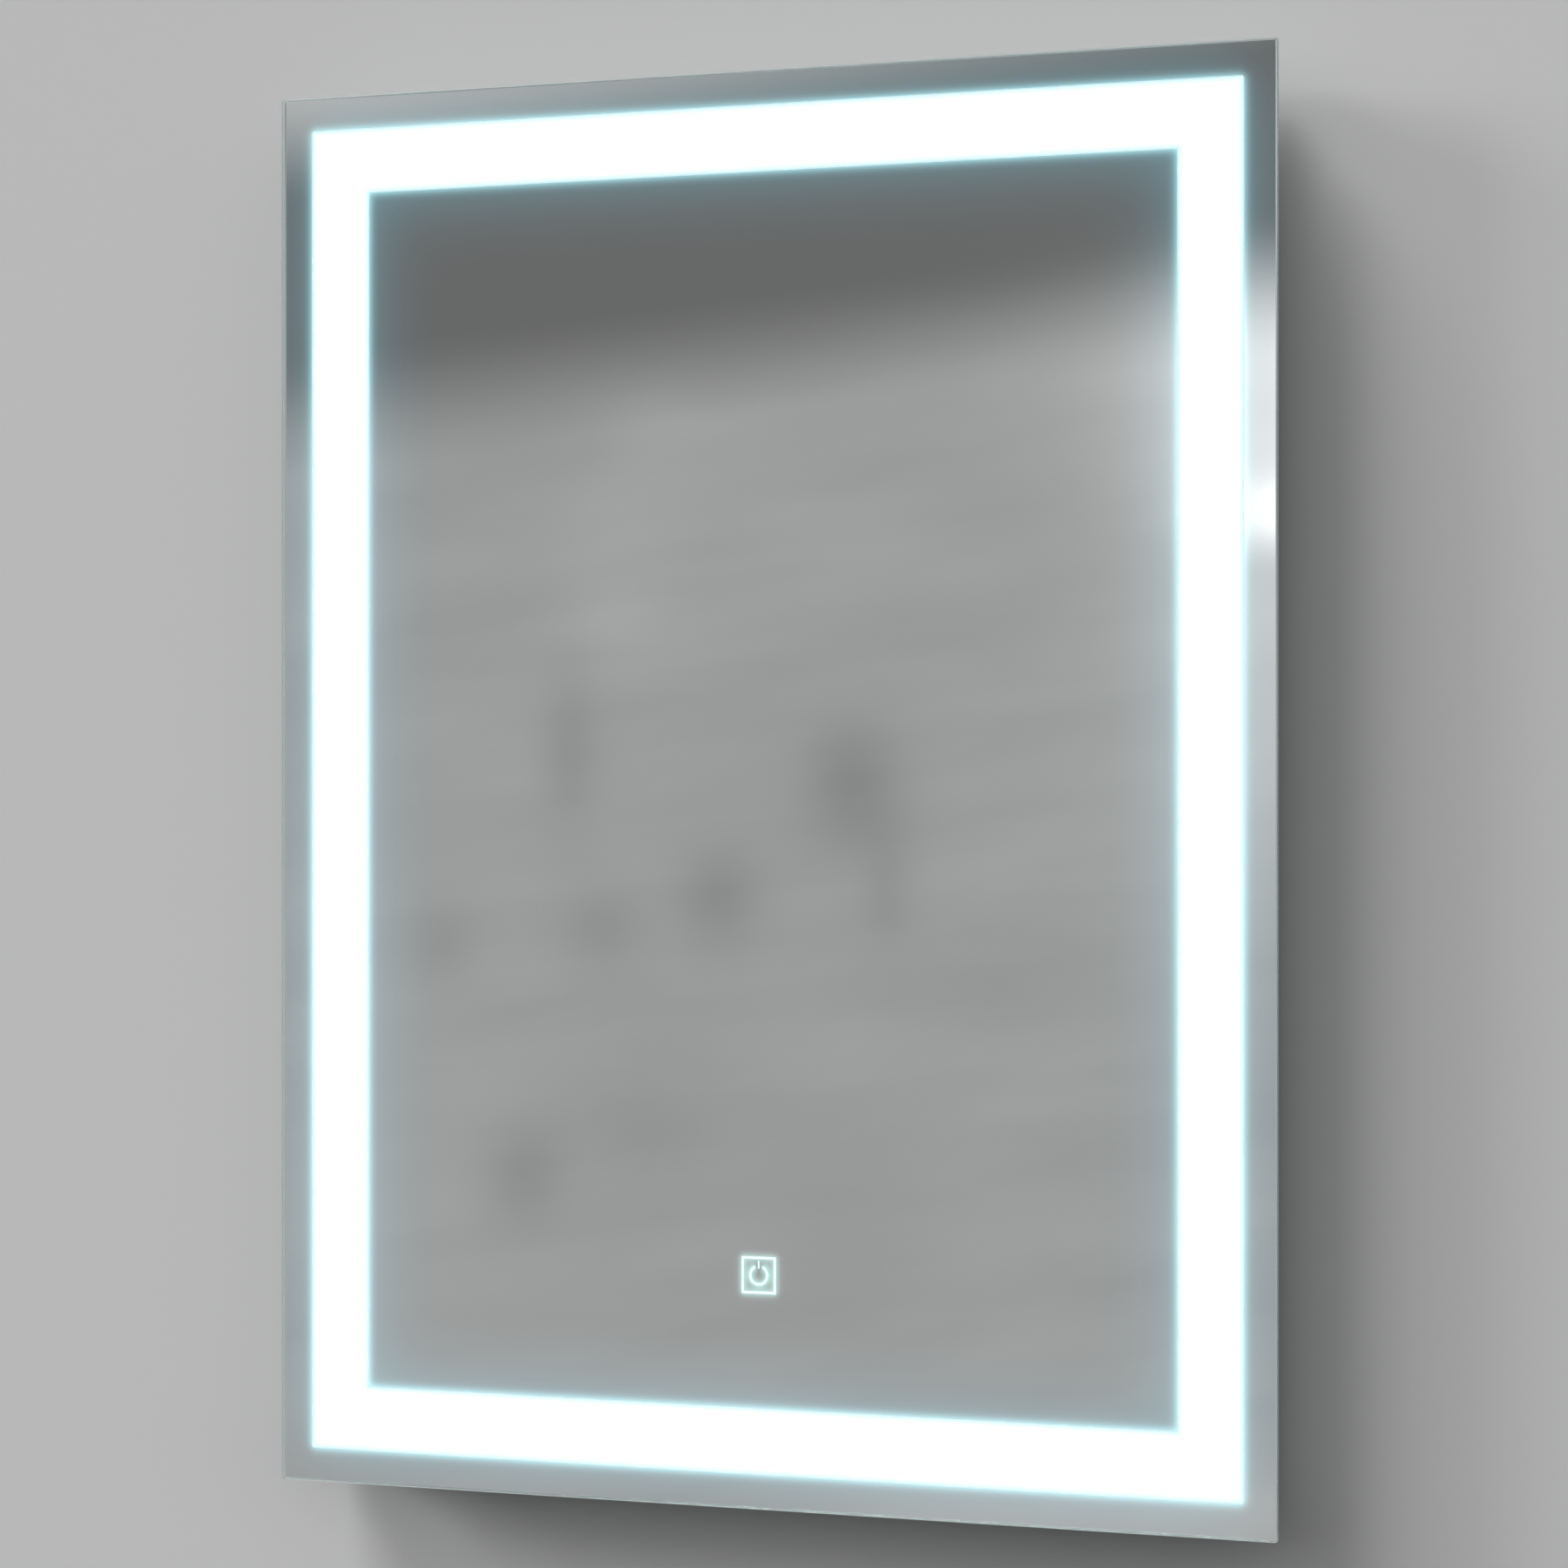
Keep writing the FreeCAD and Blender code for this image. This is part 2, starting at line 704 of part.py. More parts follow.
def make_cover():
    flange = block(0, pane_centre_z, frame_width - 2 * cover_setback, frame_height - 2 * cover_setback,
                   flange_back, trough_back, cover_corner_radius)
    outside, inside = pressed_boss(plateau_outline, plateau_back, plateau_rise)
    cover = flange.fuse(outside).cut(inside).removeSplitter()
    cover = round_bends(cover, plateau_outline, plateau_back, plateau_rise)
    for x in (-bead_spacing / 2, bead_spacing / 2):
        def bead_outline(grow, x=x):
            return obround(x, pane_centre_z - bead_drop, bead_length + 2 * grow,
                           bead_width - 2 * bead_rise + 2 * grow, upright=True)
        outside, inside = pressed_boss(bead_outline, plateau_back - bead_rise, bead_rise)
        cover = cover.fuse(outside).cut(inside).removeSplitter()
        cover = round_bends(cover, bead_outline, plateau_back - bead_rise, bead_rise)
    cuts = [rod(terminal_x, grommet_z, grommet_neck_radius + screw_play, plateau_back, plateau_front)]
    for x in rivet_positions:
        cuts.append(rod(x, rivet_z, rivet_radius + screw_play, plateau_back, plateau_front))
    for x in driver_screw_places():
        cuts.append(rod(x, services_z, driver_screw_radius + screw_play, plateau_back, plateau_front))
    for side in side_turn:
        _, reach = side_size(side)
        for x in screw_places(side):
            hole = rod(x, pane_centre_z + reach - screw_line, cover_screw_radius + screw_play,
                       flange_back, trough_back)
            cuts.append(on_side(hole, side))
    save("back_cover", cover.cut(Part.makeCompound(cuts)).removeSplitter().Solids[0])


def make_cover_screws():
    screws = []
    for side in side_turn:
        _, reach = side_size(side)
        for x in screw_places(side):
            screw = pan_screw(x, pane_centre_z + reach - screw_line, flange_back, cover_screw_radius,
                              cover_screw_length, cover_screw_head_radius, cover_screw_head_height)
            screws.append(on_side(screw, side))
    save("cover_screws", *screws)


# ---- Wall rail, hanger and bumpers -----------------------------------------------------------
def round_ends(strip, end_z):
    """The folded strip with the two corners at its end in that height rounded."""
    corners = [edge for edge in strip.Edges if abs(edge.BoundBox.Center.z - end_z) < 0.001
               and edge.BoundBox.XLength < 0.001]
    return strip.makeFillet(strip_end_radius, corners)


def make_wall_rail():
    half = rail_thickness / 2
    rail = folded_strip([(half, -rail_foot), (half, rail_web_top),
                         (lip_back + half, rail_web_top + lip_back), (lip_back + half, rail_top)],
                        rail_thickness, fold_inner_radius, rail_length)
    rail = round_ends(rail, -rail_foot)
    for x in (-wall_hole_x, wall_hole_x):
        rail = rail.cut(rod(x, 0, wall_hole_radius, 0, rail_thickness))
    for x in (-wall_slot_spacing / 2, wall_slot_spacing / 2):
        rail = rail.cut(plate(obround(x, 0, wall_slot_length, 2 * wall_hole_radius), 0, rail_thickness))
    save("wall_rail", rail.Solids[0])


def make_hanger():
    half = rail_thickness / 2
    drop = hanger_back - hook_wall_gap
    hanger = folded_strip([(hanger_back + half, hanger_top_z), (hanger_back + half, hanger_fold_z),
                           (hook_wall_gap + half, hanger_fold_z - drop),
                           (hook_wall_gap + half, rail_top - hook_overlap)],
                          rail_thickness, fold_inner_radius, hanger_length)
    hanger = round_ends(hanger, hanger_top_z)
    for x in rivet_positions:
        hanger = hanger.cut(rod(x, rivet_z, rivet_radius + screw_play, hanger_back, plateau_back))
    save("hanger", hanger.Solids[0])
    rivets = []
    for x in rivet_positions:
        rivets.append(turned(x, rivet_z, [
            (0, hanger_back - rivet_head_height),
            (rivet_head_radius * pan_crown_share, hanger_back - rivet_head_height),
            (rivet_head_radius, hanger_back), (rivet_radius, hanger_back),
            (rivet_radius, plateau_front), (rivet_tail_radius, plateau_front),
            (rivet_radius, plateau_front + rivet_tail_height),
            (0, plateau_front + rivet_tail_height)]))
    save("hanger_rivets", *rivets)


def make_bumpers():
    bumpers = []
    z = pane_centre_z - plateau_height / 2 + bumper_inset
    for x in (bumper_inset - plateau_width / 2, plateau_width / 2 - bumper_inset):
        bumpers.append(turned(x, z, [
            (0, 0), (bumper_radius - bumper_taper - bumper_edge, 0),
            (bumper_radius - bumper_taper, bumper_edge), (bumper_radius, plateau_back - bumper_edge),
            (bumper_radius, plateau_back), (0, plateau_back)]))
    save("wall_bumpers", *bumpers)


def make_grommet():
    barb_front = plateau_front + grommet_barb_height
    outer_back = plateau_back - grommet_flange_height
    save("cable_grommet", turned(terminal_x, grommet_z, [
        (grommet_bore_radius, outer_back), (grommet_flange_radius - grommet_edge, outer_back),
        (grommet_flange_radius, outer_back + grommet_edge), (grommet_flange_radius, plateau_back),
        (grommet_neck_radius, plateau_back), (grommet_neck_radius, plateau_front),
        (grommet_flange_radius, plateau_front), (grommet_neck_radius, barb_front),
        (grommet_bore_radius, barb_front)]))


# ---- Terminal box ----------------------------------------------------------------------------
def terminal_posts():
    """Centres of the two posts that take the lid's screws."""
    offset_x = terminal_box_width / 2 - terminal_box_wall - lid_post_radius + lid_post_sink
    offset_z = terminal_box_height / 2 - terminal_box_wall - lid_post_radius + lid_post_sink
    return [(terminal_x - offset_x, services_z + offset_z), (terminal_x + offset_x, services_z - offset_z)]


def make_terminal_box():
    wall = terminal_box_wall
    lid_back = terminal_box_front - wall
    shell = block(terminal_x, services_z, terminal_box_width, terminal_box_height,
                  plateau_front, lid_back, terminal_box_radius)
    shell = shell.cut(block(terminal_x, services_z, terminal_box_width - 2 * wall,
                            terminal_box_height - 2 * wall, plateau_front + wall, lid_back,
                            terminal_box_radius - wall))
    for x, z in terminal_posts():
        shell = shell.fuse(rod(x, z, lid_post_radius, plateau_front + wall, lid_back))
        shell = shell.cut(rod(x, z, lid_screw_radius + screw_play, plateau_front + wall, lid_back))
    reach = wall + 2 * cut_past
    side = Vector(terminal_x - terminal_box_width / 2 - cut_past, -lead_stand, services_z)
    shell = shell.cut(bar_along(side, Vector(1, 0, 0), lead_hole_radius, reach))
    above = Vector(terminal_x, -lead_stand, terminal_top_z + cut_past)
    shell = shell.cut(bar_along(above, Vector(0, 0, -1), lead_hole_radius, reach))
    below = Vector(terminal_x, -(plateau_front + terminal_box_depth / 2),
                   services_z - terminal_box_height / 2 - cut_past)
    shell = shell.cut(bar_along(below, Vector(0, 0, 1), grommet_bore_radius, reach))
    save("terminal_box", shell.removeSplitter().Solids[0])

    lid = block(terminal_x, services_z, terminal_box_width, terminal_box_height,
                lid_back, terminal_box_front, terminal_box_radius)
    rim_width = terminal_box_width - 2 * wall - 2 * screw_play
    rim_height = terminal_box_height - 2 * wall - 2 * screw_play
    rim = block(terminal_x, services_z, rim_width, rim_height, lid_back - terminal_lid_rim,
                lid_back, terminal_box_radius - wall)
    rim = rim.cut(block(terminal_x, services_z, rim_width - 2 * wall, rim_height - 2 * wall,
                        lid_back - terminal_lid_rim, lid_back, terminal_box_radius - wall))
    for x, z in terminal_posts():
        rim = rim.cut(rod(x, z, lid_post_radius + wall, lid_back - terminal_lid_rim, lid_back))
        lid = lid.cut(rod(x, z, lid_screw_radius + screw_play, lid_back, terminal_box_front))
    save("terminal_lid", lid.fuse(rim).removeSplitter().Solids[0])
    screws = [pan_screw(x, z, terminal_box_front, lid_screw_radius, lid_screw_length,
                        lid_screw_head_radius, lid_screw_head_height, inward=False)
              for x, z in terminal_posts()]
    save("terminal_lid_screws", *screws)


def make_terminal_block():
    """Three poles side by side, each with a brass sleeve and two clamp screws."""
    back = plateau_front + terminal_box_wall
    axis_stand = back + terminal_base_height + terminal_pole_radius
    half = terminal_block_length / 2
    places = [terminal_x + n * terminal_pole_pitch for n in (-1, 0, 1)]
    body = block(terminal_x, services_z, 3 * terminal_pole_pitch, terminal_block_length,
                 back, axis_stand, terminal_body_edge)
    up = Vector(0, 0, 1)
    for x in places:
        start = Vector(x, -axis_stand, services_z - half)
        body = body.fuse(bar_along(start, up, terminal_pole_radius, terminal_block_length))
    tip = axis_stand + sleeve_bore_radius - clamp_screw_bite
    top = tip + clamp_screw_height
    hole_radius = clamp_screw_radius + screw_play
    sleeves = []
    screws = []
    for x in places:
        start = Vector(x, -axis_stand, services_z - half)
        body = body.cut(bar_along(start, up, terminal_bore_radius, terminal_block_length))
        sleeve = bar_along(start + up * sleeve_setback, up, terminal_bore_radius - screw_play,
                           terminal_block_length - 2 * sleeve_setback)
        sleeve = sleeve.cut(bar_along(start, up, sleeve_bore_radius, terminal_block_length))
        for z in (services_z - half / 2, services_z + half / 2):
            body = body.cut(rod(x, z, hole_radius, axis_stand, top + clamp_screw_well))
            sleeve = sleeve.cut(rod(x, z, hole_radius, axis_stand, top))
            screws.append(rod(x, z, clamp_screw_radius, tip, top))
        sleeves.append(sleeve)
    save("terminal_block", body.removeSplitter().Solids[0])
    save("terminal_sleeves", *[s.Solids[0] for s in sleeves])
    save("terminal_clamp_screws", *screws)


# ---- Driver ----------------------------------------------------------------------------------
def driver_screw_places():
    reach = driver_length / 2 + driver_ear / 2
    return (driver_x - reach, driver_x + reach)


def make_driver():
    wall = driver_wall
    base = block(driver_x, services_z, driver_length, driver_width, plateau_front, driver_parting,
                 driver_radius)
    ears = block(driver_x, services_z, driver_length + 2 * driver_ear, driver_width / 2,
                 plateau_front, plateau_front + driver_ear_thickness, driver_radius)
    inside = block(driver_x, services_z, driver_length - 2 * wall, driver_width - 2 * wall,
                   plateau_front + wall, driver_parting, driver_radius - wall)
    base = base.fuse(ears).cut(inside)
    for x in driver_screw_places():
        base = base.cut(rod(x, services_z, driver_screw_radius + screw_play, plateau_front,
                            plateau_front + driver_ear_thickness))
    for x, z in driver_lead_places():
        way = 1 if x > driver_x else -1
        start = Vector(x - way * (wall + cut_past), -lead_stand, z)
        base = base.cut(bar_along(start, Vector(way, 0, 0), lead_hole_radius, wall + 2 * cut_past))
    board_back = lead_stand + lead_diameter / 2 + driver_board_gap
    board_front = board_back + driver_board_thickness
    board_length = driver_length - 2 * wall - 2 * driver_board_play
    board_width = driver_width - 2 * wall - 2 * driver_board_play
    feet = []
    for sx in (-1, 1):
        for sz in (-1, 1):
            foot_x = driver_x + sx * (board_length / 2 - driver_foot_inset)
            foot_z = services_z + sz * (board_width / 2 - driver_foot_inset)
            feet.append(rod(foot_x, foot_z, driver_foot_radius, plateau_front + wall, board_back))
    save("driver_base", base.fuse(feet).removeSplitter().Solids[0])

    cover = block(driver_x, services_z, driver_length, driver_width, driver_parting, driver_front,
                  driver_radius)
    cover = cover.cut(block(driver_x, services_z, driver_length - 2 * wall, driver_width - 2 * wall,
                            driver_parting, driver_front - wall, driver_radius - wall))
    first = driver_x - (driver_rib_count - 1) / 2 * driver_rib_pitch
    ribs = [block(first + n * driver_rib_pitch, services_z, driver_rib_width,
                  driver_width - 2 * driver_radius, driver_front,
                  driver_front + driver_rib_height, driver_rib_edge)
            for n in range(driver_rib_count)]
    save("driver_cover", cover.fuse(ribs).removeSplitter().Solids[0])

    save("driver_board", block(driver_x, services_z, board_length, board_width, board_back, board_front))
    save("driver_components", *driver_parts(board_length, board_front,
                                            driver_front - wall - driver_part_gap))
    ear_front = plateau_front + driver_ear_thickness
    screws = [pan_screw(x, services_z, ear_front, driver_screw_radius,
                        driver_ear_thickness + driver_screw_grip, cover_screw_head_radius,
                        cover_screw_head_height, inward=False)
              for x in driver_screw_places()]
    save("driver_screws", *screws)


def driver_parts(board_length, back, front):
    """Small capacitor, transformer, large capacitor and choke, in a row with even gaps."""
    widths = [2 * small_capacitor_radius, transformer_length, 2 * capacitor_radius, choke_length]
    gap = (board_length - sum(widths)) / (len(widths) + 1)
    places = []
    x = driver_x - board_length / 2
    for width in widths:
        places.append(x + gap + width / 2)
        x += gap + width
    return [rod(places[0], services_z + driver_part_stagger, small_capacitor_radius, back,
                front - small_capacitor_drop),
            block(places[1], services_z, transformer_length, transformer_width, back, front, moulded_edge),
            rod(places[2], services_z, capacitor_radius, back, front),
            block(places[3], services_z - driver_part_stagger, choke_length, choke_width, back,
                  front - choke_drop, moulded_edge)]


def driver_lead_places():
    """(x of the driver's end face, z) of the supply, strip and touch leads."""
    shift = driver_width / 2 - driver_wall - 2 * lead_diameter
    return [(driver_right, services_z + shift), (driver_left, services_z + shift),
            (driver_left, services_z - shift)]


# ---- Earth stud ------------------------------------------------------------------------------
def make_earth_stud():
    """Stud on the cover above the terminal box, with the earth lead's ring under its nut."""
    ring_back = plateau_front + earth_washer_thickness
    ring_front = ring_back + earth_ring_thickness
    nut_front = ring_front + earth_nut_height
    hole_radius = earth_stud_radius + screw_play
    tip = plateau_front + earth_stud_length
    stud = rod(terminal_x, earth_z, earth_stud_radius, plateau_front, tip)
    rims = [edge for edge in stud.Edges if edge.BoundBox.YMax < 0.001 - tip]
    save("earth_stud", stud.makeChamfer(earth_stud_bevel, rims))
    washer = rod(terminal_x, earth_z, earth_washer_radius, plateau_front, ring_back)
    washer = washer.cut(rod(terminal_x, earth_z, hole_radius, plateau_front, ring_back))
    corner = earth_nut_across_flats / math.sqrt(3)
    hexagon = [Vector(terminal_x + corner * math.cos(math.radians(60 * n)), 0,
                      earth_z + corner * math.sin(math.radians(60 * n))) for n in range(7)]
    nut = plate(Part.makePolygon(hexagon), ring_front, nut_front)
    nut = nut.cut(rod(terminal_x, earth_z, hole_radius, ring_front, nut_front))
    save("earth_nut_and_washer", washer, nut)

    ring = rod(terminal_x, earth_z, earth_ring_radius, ring_back, ring_front)
    barrel_high = earth_z - earth_washer_radius
    barrel_low = barrel_high - earth_barrel_length
    tongue = block(terminal_x, (earth_z + barrel_low) / 2, lead_diameter, earth_z - barrel_low,
                   ring_back, ring_front)
    ring = ring.fuse(tongue).cut(rod(terminal_x, earth_z, hole_radius, ring_back, ring_front))
    barrel = block(terminal_x, (barrel_low + barrel_high) / 2, lead_diameter + 2 * earth_barrel_wall,
                   earth_barrel_length, ring_back, lead_stand + lead_diameter / 2 + earth_barrel_wall)
    low = terminal_top_z - terminal_box_wall - lead_run_in
    wire = bar_along(Vector(terminal_x, -lead_stand, low), Vector(0, 0, 1), lead_diameter / 2,
                     barrel_low - low)
    save("earth_lead", ring.fuse([barrel, wire]).removeSplitter().Solids[0])


# ---- Touch switch ----------------------------------------------------------------------------
def touch_block(size, back, front):
    return block(0, mark_z, size, size, back, front, touch_corner_radius)


def make_touch_switch():
    size = touch_module_size
    window = touch_window
    tape = touch_block(size, touch_frame_front, coat_back)
    save("touch_tape", tape.cut(touch_block(window, touch_frame_front, coat_back)))
    frame = touch_block(size, touch_board_front, touch_frame_front)
    save("touch_light_frame", frame.cut(touch_block(window, touch_board_front, touch_frame_front)))
    save("touch_board", touch_block(size, touch_board_back, touch_board_front))
    half = touch_led_span / 2
    chips = [block(x, mark_z + z, touch_led_size, touch_led_size, touch_board_front,
                   touch_board_front + touch_led_height)
             for x, z in ((-half, 0), (half, 0), (0, half), (0, -half))]
    save("touch_leds", *chips)
    save("touch_sensor_pad", rod(0, mark_z, touch_pad_radius, touch_board_front,
                                 touch_board_front + touch_pad_height))
    cover = touch_block(size, touch_cover_back, touch_board_back)
    inner = size - 2 * touch_cover_wall
    cover = cover.cut(touch_block(inner, touch_cover_back + touch_cover_wall, touch_board_back))
    entry = Vector(-size / 2 - cut_past, -touch_entry_stand, mark_z)
    cover = cover.cut(bar_along(entry, Vector(1, 0, 0), lead_hole_radius, touch_cover_wall + 2 * cut_past))
    save("touch_cover", cover)


# ---- Internal leads and their clips ------------------------------------------------------------
def make_leads():
    supply, strips, touch = driver_lead_places()
    box_side = terminal_x - terminal_box_width / 2 + terminal_box_wall + lead_run_in
    run_in = driver_wall + lead_run_in
    middle = (supply[0] + box_side) / 2
    save("supply_lead", lead([(supply[0] - run_in, lead_stand, supply[1]),
                              (middle - lead_bend, lead_stand, supply[1]),
                              (middle + lead_bend, lead_stand, services_z),
                              (box_side, lead_stand, services_z)], lead_diameter, lead_bend))
    strip_z = pane_centre_z + frame_height / 2 - trough_width / 2
    climb_z = pane_centre_z + opening_height / 2 - 2 * lead_climb
    save("strip_lead", lead([(strips[0] + run_in, lead_stand, strips[1]),
                             (strip_lead_x, lead_stand, strips[1]),
                             (strip_lead_x, lead_stand, climb_z),
                             (strip_lead_x, lead_entry_stand, climb_z + lead_climb),
                             (strip_lead_x, lead_entry_stand, strip_z),
                             (strip_lead_x, strip_front, strip_z)], lead_diameter, lead_climb / 2))
    module_side = -touch_module_size / 2
    climb_x = module_side - 4 * lead_climb
    save("touch_lead", lead([(touch[0] + run_in, lead_stand, touch[1]),
                             (touch_lead_x, lead_stand, touch[1]),
                             (touch_lead_x, lead_stand, mark_z),
                             (climb_x, lead_stand, mark_z),
                             (climb_x + lead_climb, touch_entry_stand, mark_z),
                             (module_side + touch_cover_wall + lead_run_in, touch_entry_stand, mark_z)],
                            lead_diameter, lead_climb / 2))


def clip(x, z, upright):
    """Saddle clip stuck to the cover, with the lead's hole through it."""
    front = lead_stand + lead_diameter / 2 + clip_play + clip_wall
    foot_front = lead_stand - lead_diameter / 2 - clip_play
    arch_width = lead_diameter + 2 * (clip_play + clip_wall)
    if upright:
        foot = block(x, z, clip_width, clip_length, plateau_front, foot_front, clip_corner_radius)
        saddle = block(x, z, arch_width, clip_length, plateau_front, front)
        way = Vector(0, 0, 1)
    else:
        foot = block(x, z, clip_length, clip_width, plateau_front, foot_front, clip_corner_radius)
        saddle = block(x, z, clip_length, arch_width, plateau_front, front)
        way = Vector(1, 0, 0)
    start = Vector(x, -lead_stand, z) - way * clip_width
    hole = bar_along(start, way, lead_diameter / 2 + clip_play, 2 * clip_width)
    return foot.fuse(saddle).cut(hole).removeSplitter().Solids[0]


def make_clips():
    _, strips, touch = driver_lead_places()
    run = touch[1] - mark_z
    clips = [clip(touch_lead_x, touch[1] - (n + 0.5) / clip_count * run, True) for n in range(clip_count)]
    clips.append(clip((touch_lead_x - touch_module_size / 2) / 2, mark_z, False))
    wall_z = pane_centre_z + opening_height / 2
    clips.append(clip(strip_lead_x, (strips[1] + wall_z) / 2, True))
    save("lead_clips", *clips)


os.makedirs("parts", exist_ok=True)
make_pane()
make_coat()
make_tape()
make_trough()
make_corner_keys()
make_diffusers()
make_light_strips()
make_jumpers()
make_cover()
make_cover_screws()
make_wall_rail()
make_hanger()
make_bumpers()
make_grommet()
make_terminal_box()
make_terminal_block()
make_driver()
make_earth_stud()
make_touch_switch()
make_leads()
make_clips()
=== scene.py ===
import bpy
import math
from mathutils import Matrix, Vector


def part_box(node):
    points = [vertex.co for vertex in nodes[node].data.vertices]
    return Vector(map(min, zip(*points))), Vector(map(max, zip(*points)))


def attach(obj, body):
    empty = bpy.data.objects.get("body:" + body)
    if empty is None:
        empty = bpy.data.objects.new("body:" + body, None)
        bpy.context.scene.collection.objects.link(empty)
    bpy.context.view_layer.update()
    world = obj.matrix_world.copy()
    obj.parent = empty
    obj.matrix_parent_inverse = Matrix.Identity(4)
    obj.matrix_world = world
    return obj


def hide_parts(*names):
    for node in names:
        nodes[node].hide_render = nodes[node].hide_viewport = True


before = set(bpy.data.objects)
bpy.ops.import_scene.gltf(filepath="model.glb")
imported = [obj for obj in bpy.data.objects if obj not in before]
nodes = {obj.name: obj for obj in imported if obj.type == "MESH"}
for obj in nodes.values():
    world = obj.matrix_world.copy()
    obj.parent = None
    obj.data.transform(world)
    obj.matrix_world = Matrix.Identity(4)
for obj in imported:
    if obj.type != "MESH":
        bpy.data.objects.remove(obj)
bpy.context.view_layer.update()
scene = bpy.context.scene
scene.view_settings.view_transform = "Standard"
bpy.ops.object.select_all(action="DESELECT")
mm = 0.001
noiseSpan = (0.3, 0.7)      # nearly all of a noise texture's values lie between these

# sizes that the finishes and new pieces share, all read from the frame
paneLow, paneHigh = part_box("glass_pane")
bandLow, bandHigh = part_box("etched_band")
fieldLow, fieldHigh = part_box("silver_field")
markLow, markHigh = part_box("touch_mark")
mirrorMiddle = (paneLow + paneHigh) / 2
markMiddle = (markLow + markHigh) / 2
bandHalf = (bandHigh - bandLow) / 2
fieldHalf = (fieldHigh - fieldLow) / 2
markHalf = (markHigh - markLow) / 2
print("frame loaded:", len(nodes), "nodes")


def middleOf(name):
    low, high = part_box(name)
    return (low + high) / 2


camera = {
    "place": (1.0238, -2.4487, -0.2518),
    "turn": 22.73,      # degrees to the left of the wall's normal
    "lens": 108,
    "sensor": 36,
    "reach": 60,        # metres to the farthest thing that it sees
}


def placeCamera():
    lens = bpy.data.cameras.new("camera")
    lens.lens = camera["lens"]
    lens.sensor_width = camera["sensor"]
    lens.clip_end = camera["reach"]
    viewer = bpy.data.objects.new("camera", lens)
    viewer.location = camera["place"]
    viewer.rotation_euler = (math.radians(90), 0, math.radians(camera["turn"]))
    scene.collection.objects.link(viewer)
    scene.camera = viewer


placeCamera()
print("camera placed")


def addNode(tree, kind, values=None, **settings):
    # a value that is another node's socket is linked, and any other is set
    node = tree.nodes.new(kind)
    for key, value in settings.items():
        setattr(node, key, value)
    for key, value in (values or {}).items():
        if isinstance(value, bpy.types.NodeSocket):
            tree.links.new(value, node.inputs[key])
        else:
            node.inputs[key].default_value = value
    return node


def calc(tree, operation, a, b=0.0, c=0.0):
    return addNode(tree, "ShaderNodeMath", {0: a, 1: b, 2: c}, operation=operation).outputs[0]


def calcPlace(tree, operation, a, b=(0, 0, 0)):
    # the same for places and directions; a length and a dot product come out as numbers
    second = "Scale" if operation == "SCALE" else 1
    node = addNode(tree, "ShaderNodeVectorMath", {0: a, second: b}, operation=operation)
    return node.outputs["Value" if operation in ("LENGTH", "DOT_PRODUCT") else "Vector"]


def placeParts(tree, place):
    return addNode(tree, "ShaderNodeSeparateXYZ", {0: place}).outputs


def flatPlace(tree, x, z):
    return addNode(tree, "ShaderNodeCombineXYZ", {0: x, 2: z}).outputs[0]


def noise(tree, place, scale, detail, **more):
    values = {"Vector": place, "Scale": scale, "Detail": detail, **more}
    return addNode(tree, "ShaderNodeTexNoise", values).outputs


def spread(tree, value, low, high, toLow, toHigh, smooth=False):
    node = addNode(tree, "ShaderNodeMapRange", {0: value, 1: low, 2: high, 3: toLow, 4: toHigh})
    if smooth:
        node.interpolation_type = "SMOOTHSTEP"
    return node.outputs[0]


def blendColours(tree, amount, first, second, way="MIX"):
    # sockets 0, 6 and 7 are the share and the two colours, and output 2 is their blend
    values = {0: amount, 6: first, 7: second}
    return addNode(tree, "ShaderNodeMix", values, data_type="RGBA", blend_type=way).outputs[2]


def colour(red, green, blue):
    return (red, green, blue, 1.0)


def objectPlace(tree, centre=(0, 0, 0)):
    place = addNode(tree, "ShaderNodeTexCoord").outputs["Object"]
    return calcPlace(tree, "SUBTRACT", place, centre)


def newGroup(name, inputs, outputs):
    group = bpy.data.node_groups.new(name, "ShaderNodeTree")
    for label, kind, start in inputs:
        socket = group.interface.new_socket(label, in_out="INPUT", socket_type="NodeSocket" + kind)
        socket.default_value = start
    for label, kind in outputs:
        group.interface.new_socket(label, in_out="OUTPUT", socket_type="NodeSocket" + kind)
    entry = group.nodes.new("NodeGroupInput").outputs
    end = group.nodes.new("NodeGroupOutput").inputs
    return group, entry, end


def useGroup(tree, group, **values):
    sockets = {key[0].upper() + key[1:]: value for key, value in values.items()}
    return addNode(tree, "ShaderNodeGroup", sockets, node_tree=group).outputs


def newMaterial(name, **plain):
    material = bpy.data.materials.new(name)
    material.use_nodes = True
    tree = material.node_tree
    shader = tree.nodes["Principled BSDF"]
    for key, value in plain.items():
        shader.inputs[key.replace("_", " ")].default_value = value
    return material, tree, shader


def feed(tree, shader, label, value):
    tree.links.new(value, shader.inputs[label])


def addBump(tree, shader, height, depth, strength=1.0, rounding=0.0):
    # rounding is the radius that sharp edges seem to have
    bump = addNode(tree, "ShaderNodeBump", {"Height": height, "Distance": depth, "Strength": strength})
    if rounding:
        soft = addNode(tree, "ShaderNodeBevel", {"Radius": rounding}, samples=4)
        tree.links.new(soft.outputs[0], bump.inputs["Normal"])
    feed(tree, shader, "Normal", bump.outputs[0])


def addGrain(tree, shader, skin, look, rounding=0.0):
    # roughness and fine bump from a moulded or etched skin's grain
    feed(tree, shader, "Roughness", spread(tree, skin["Grain"], *noiseSpan, *look["rough"]))
    addBump(tree, shader, skin["Grain"], look["depth"] * mm, rounding=rounding)


patches = {"scale": 9.0, "detail": 3.0}


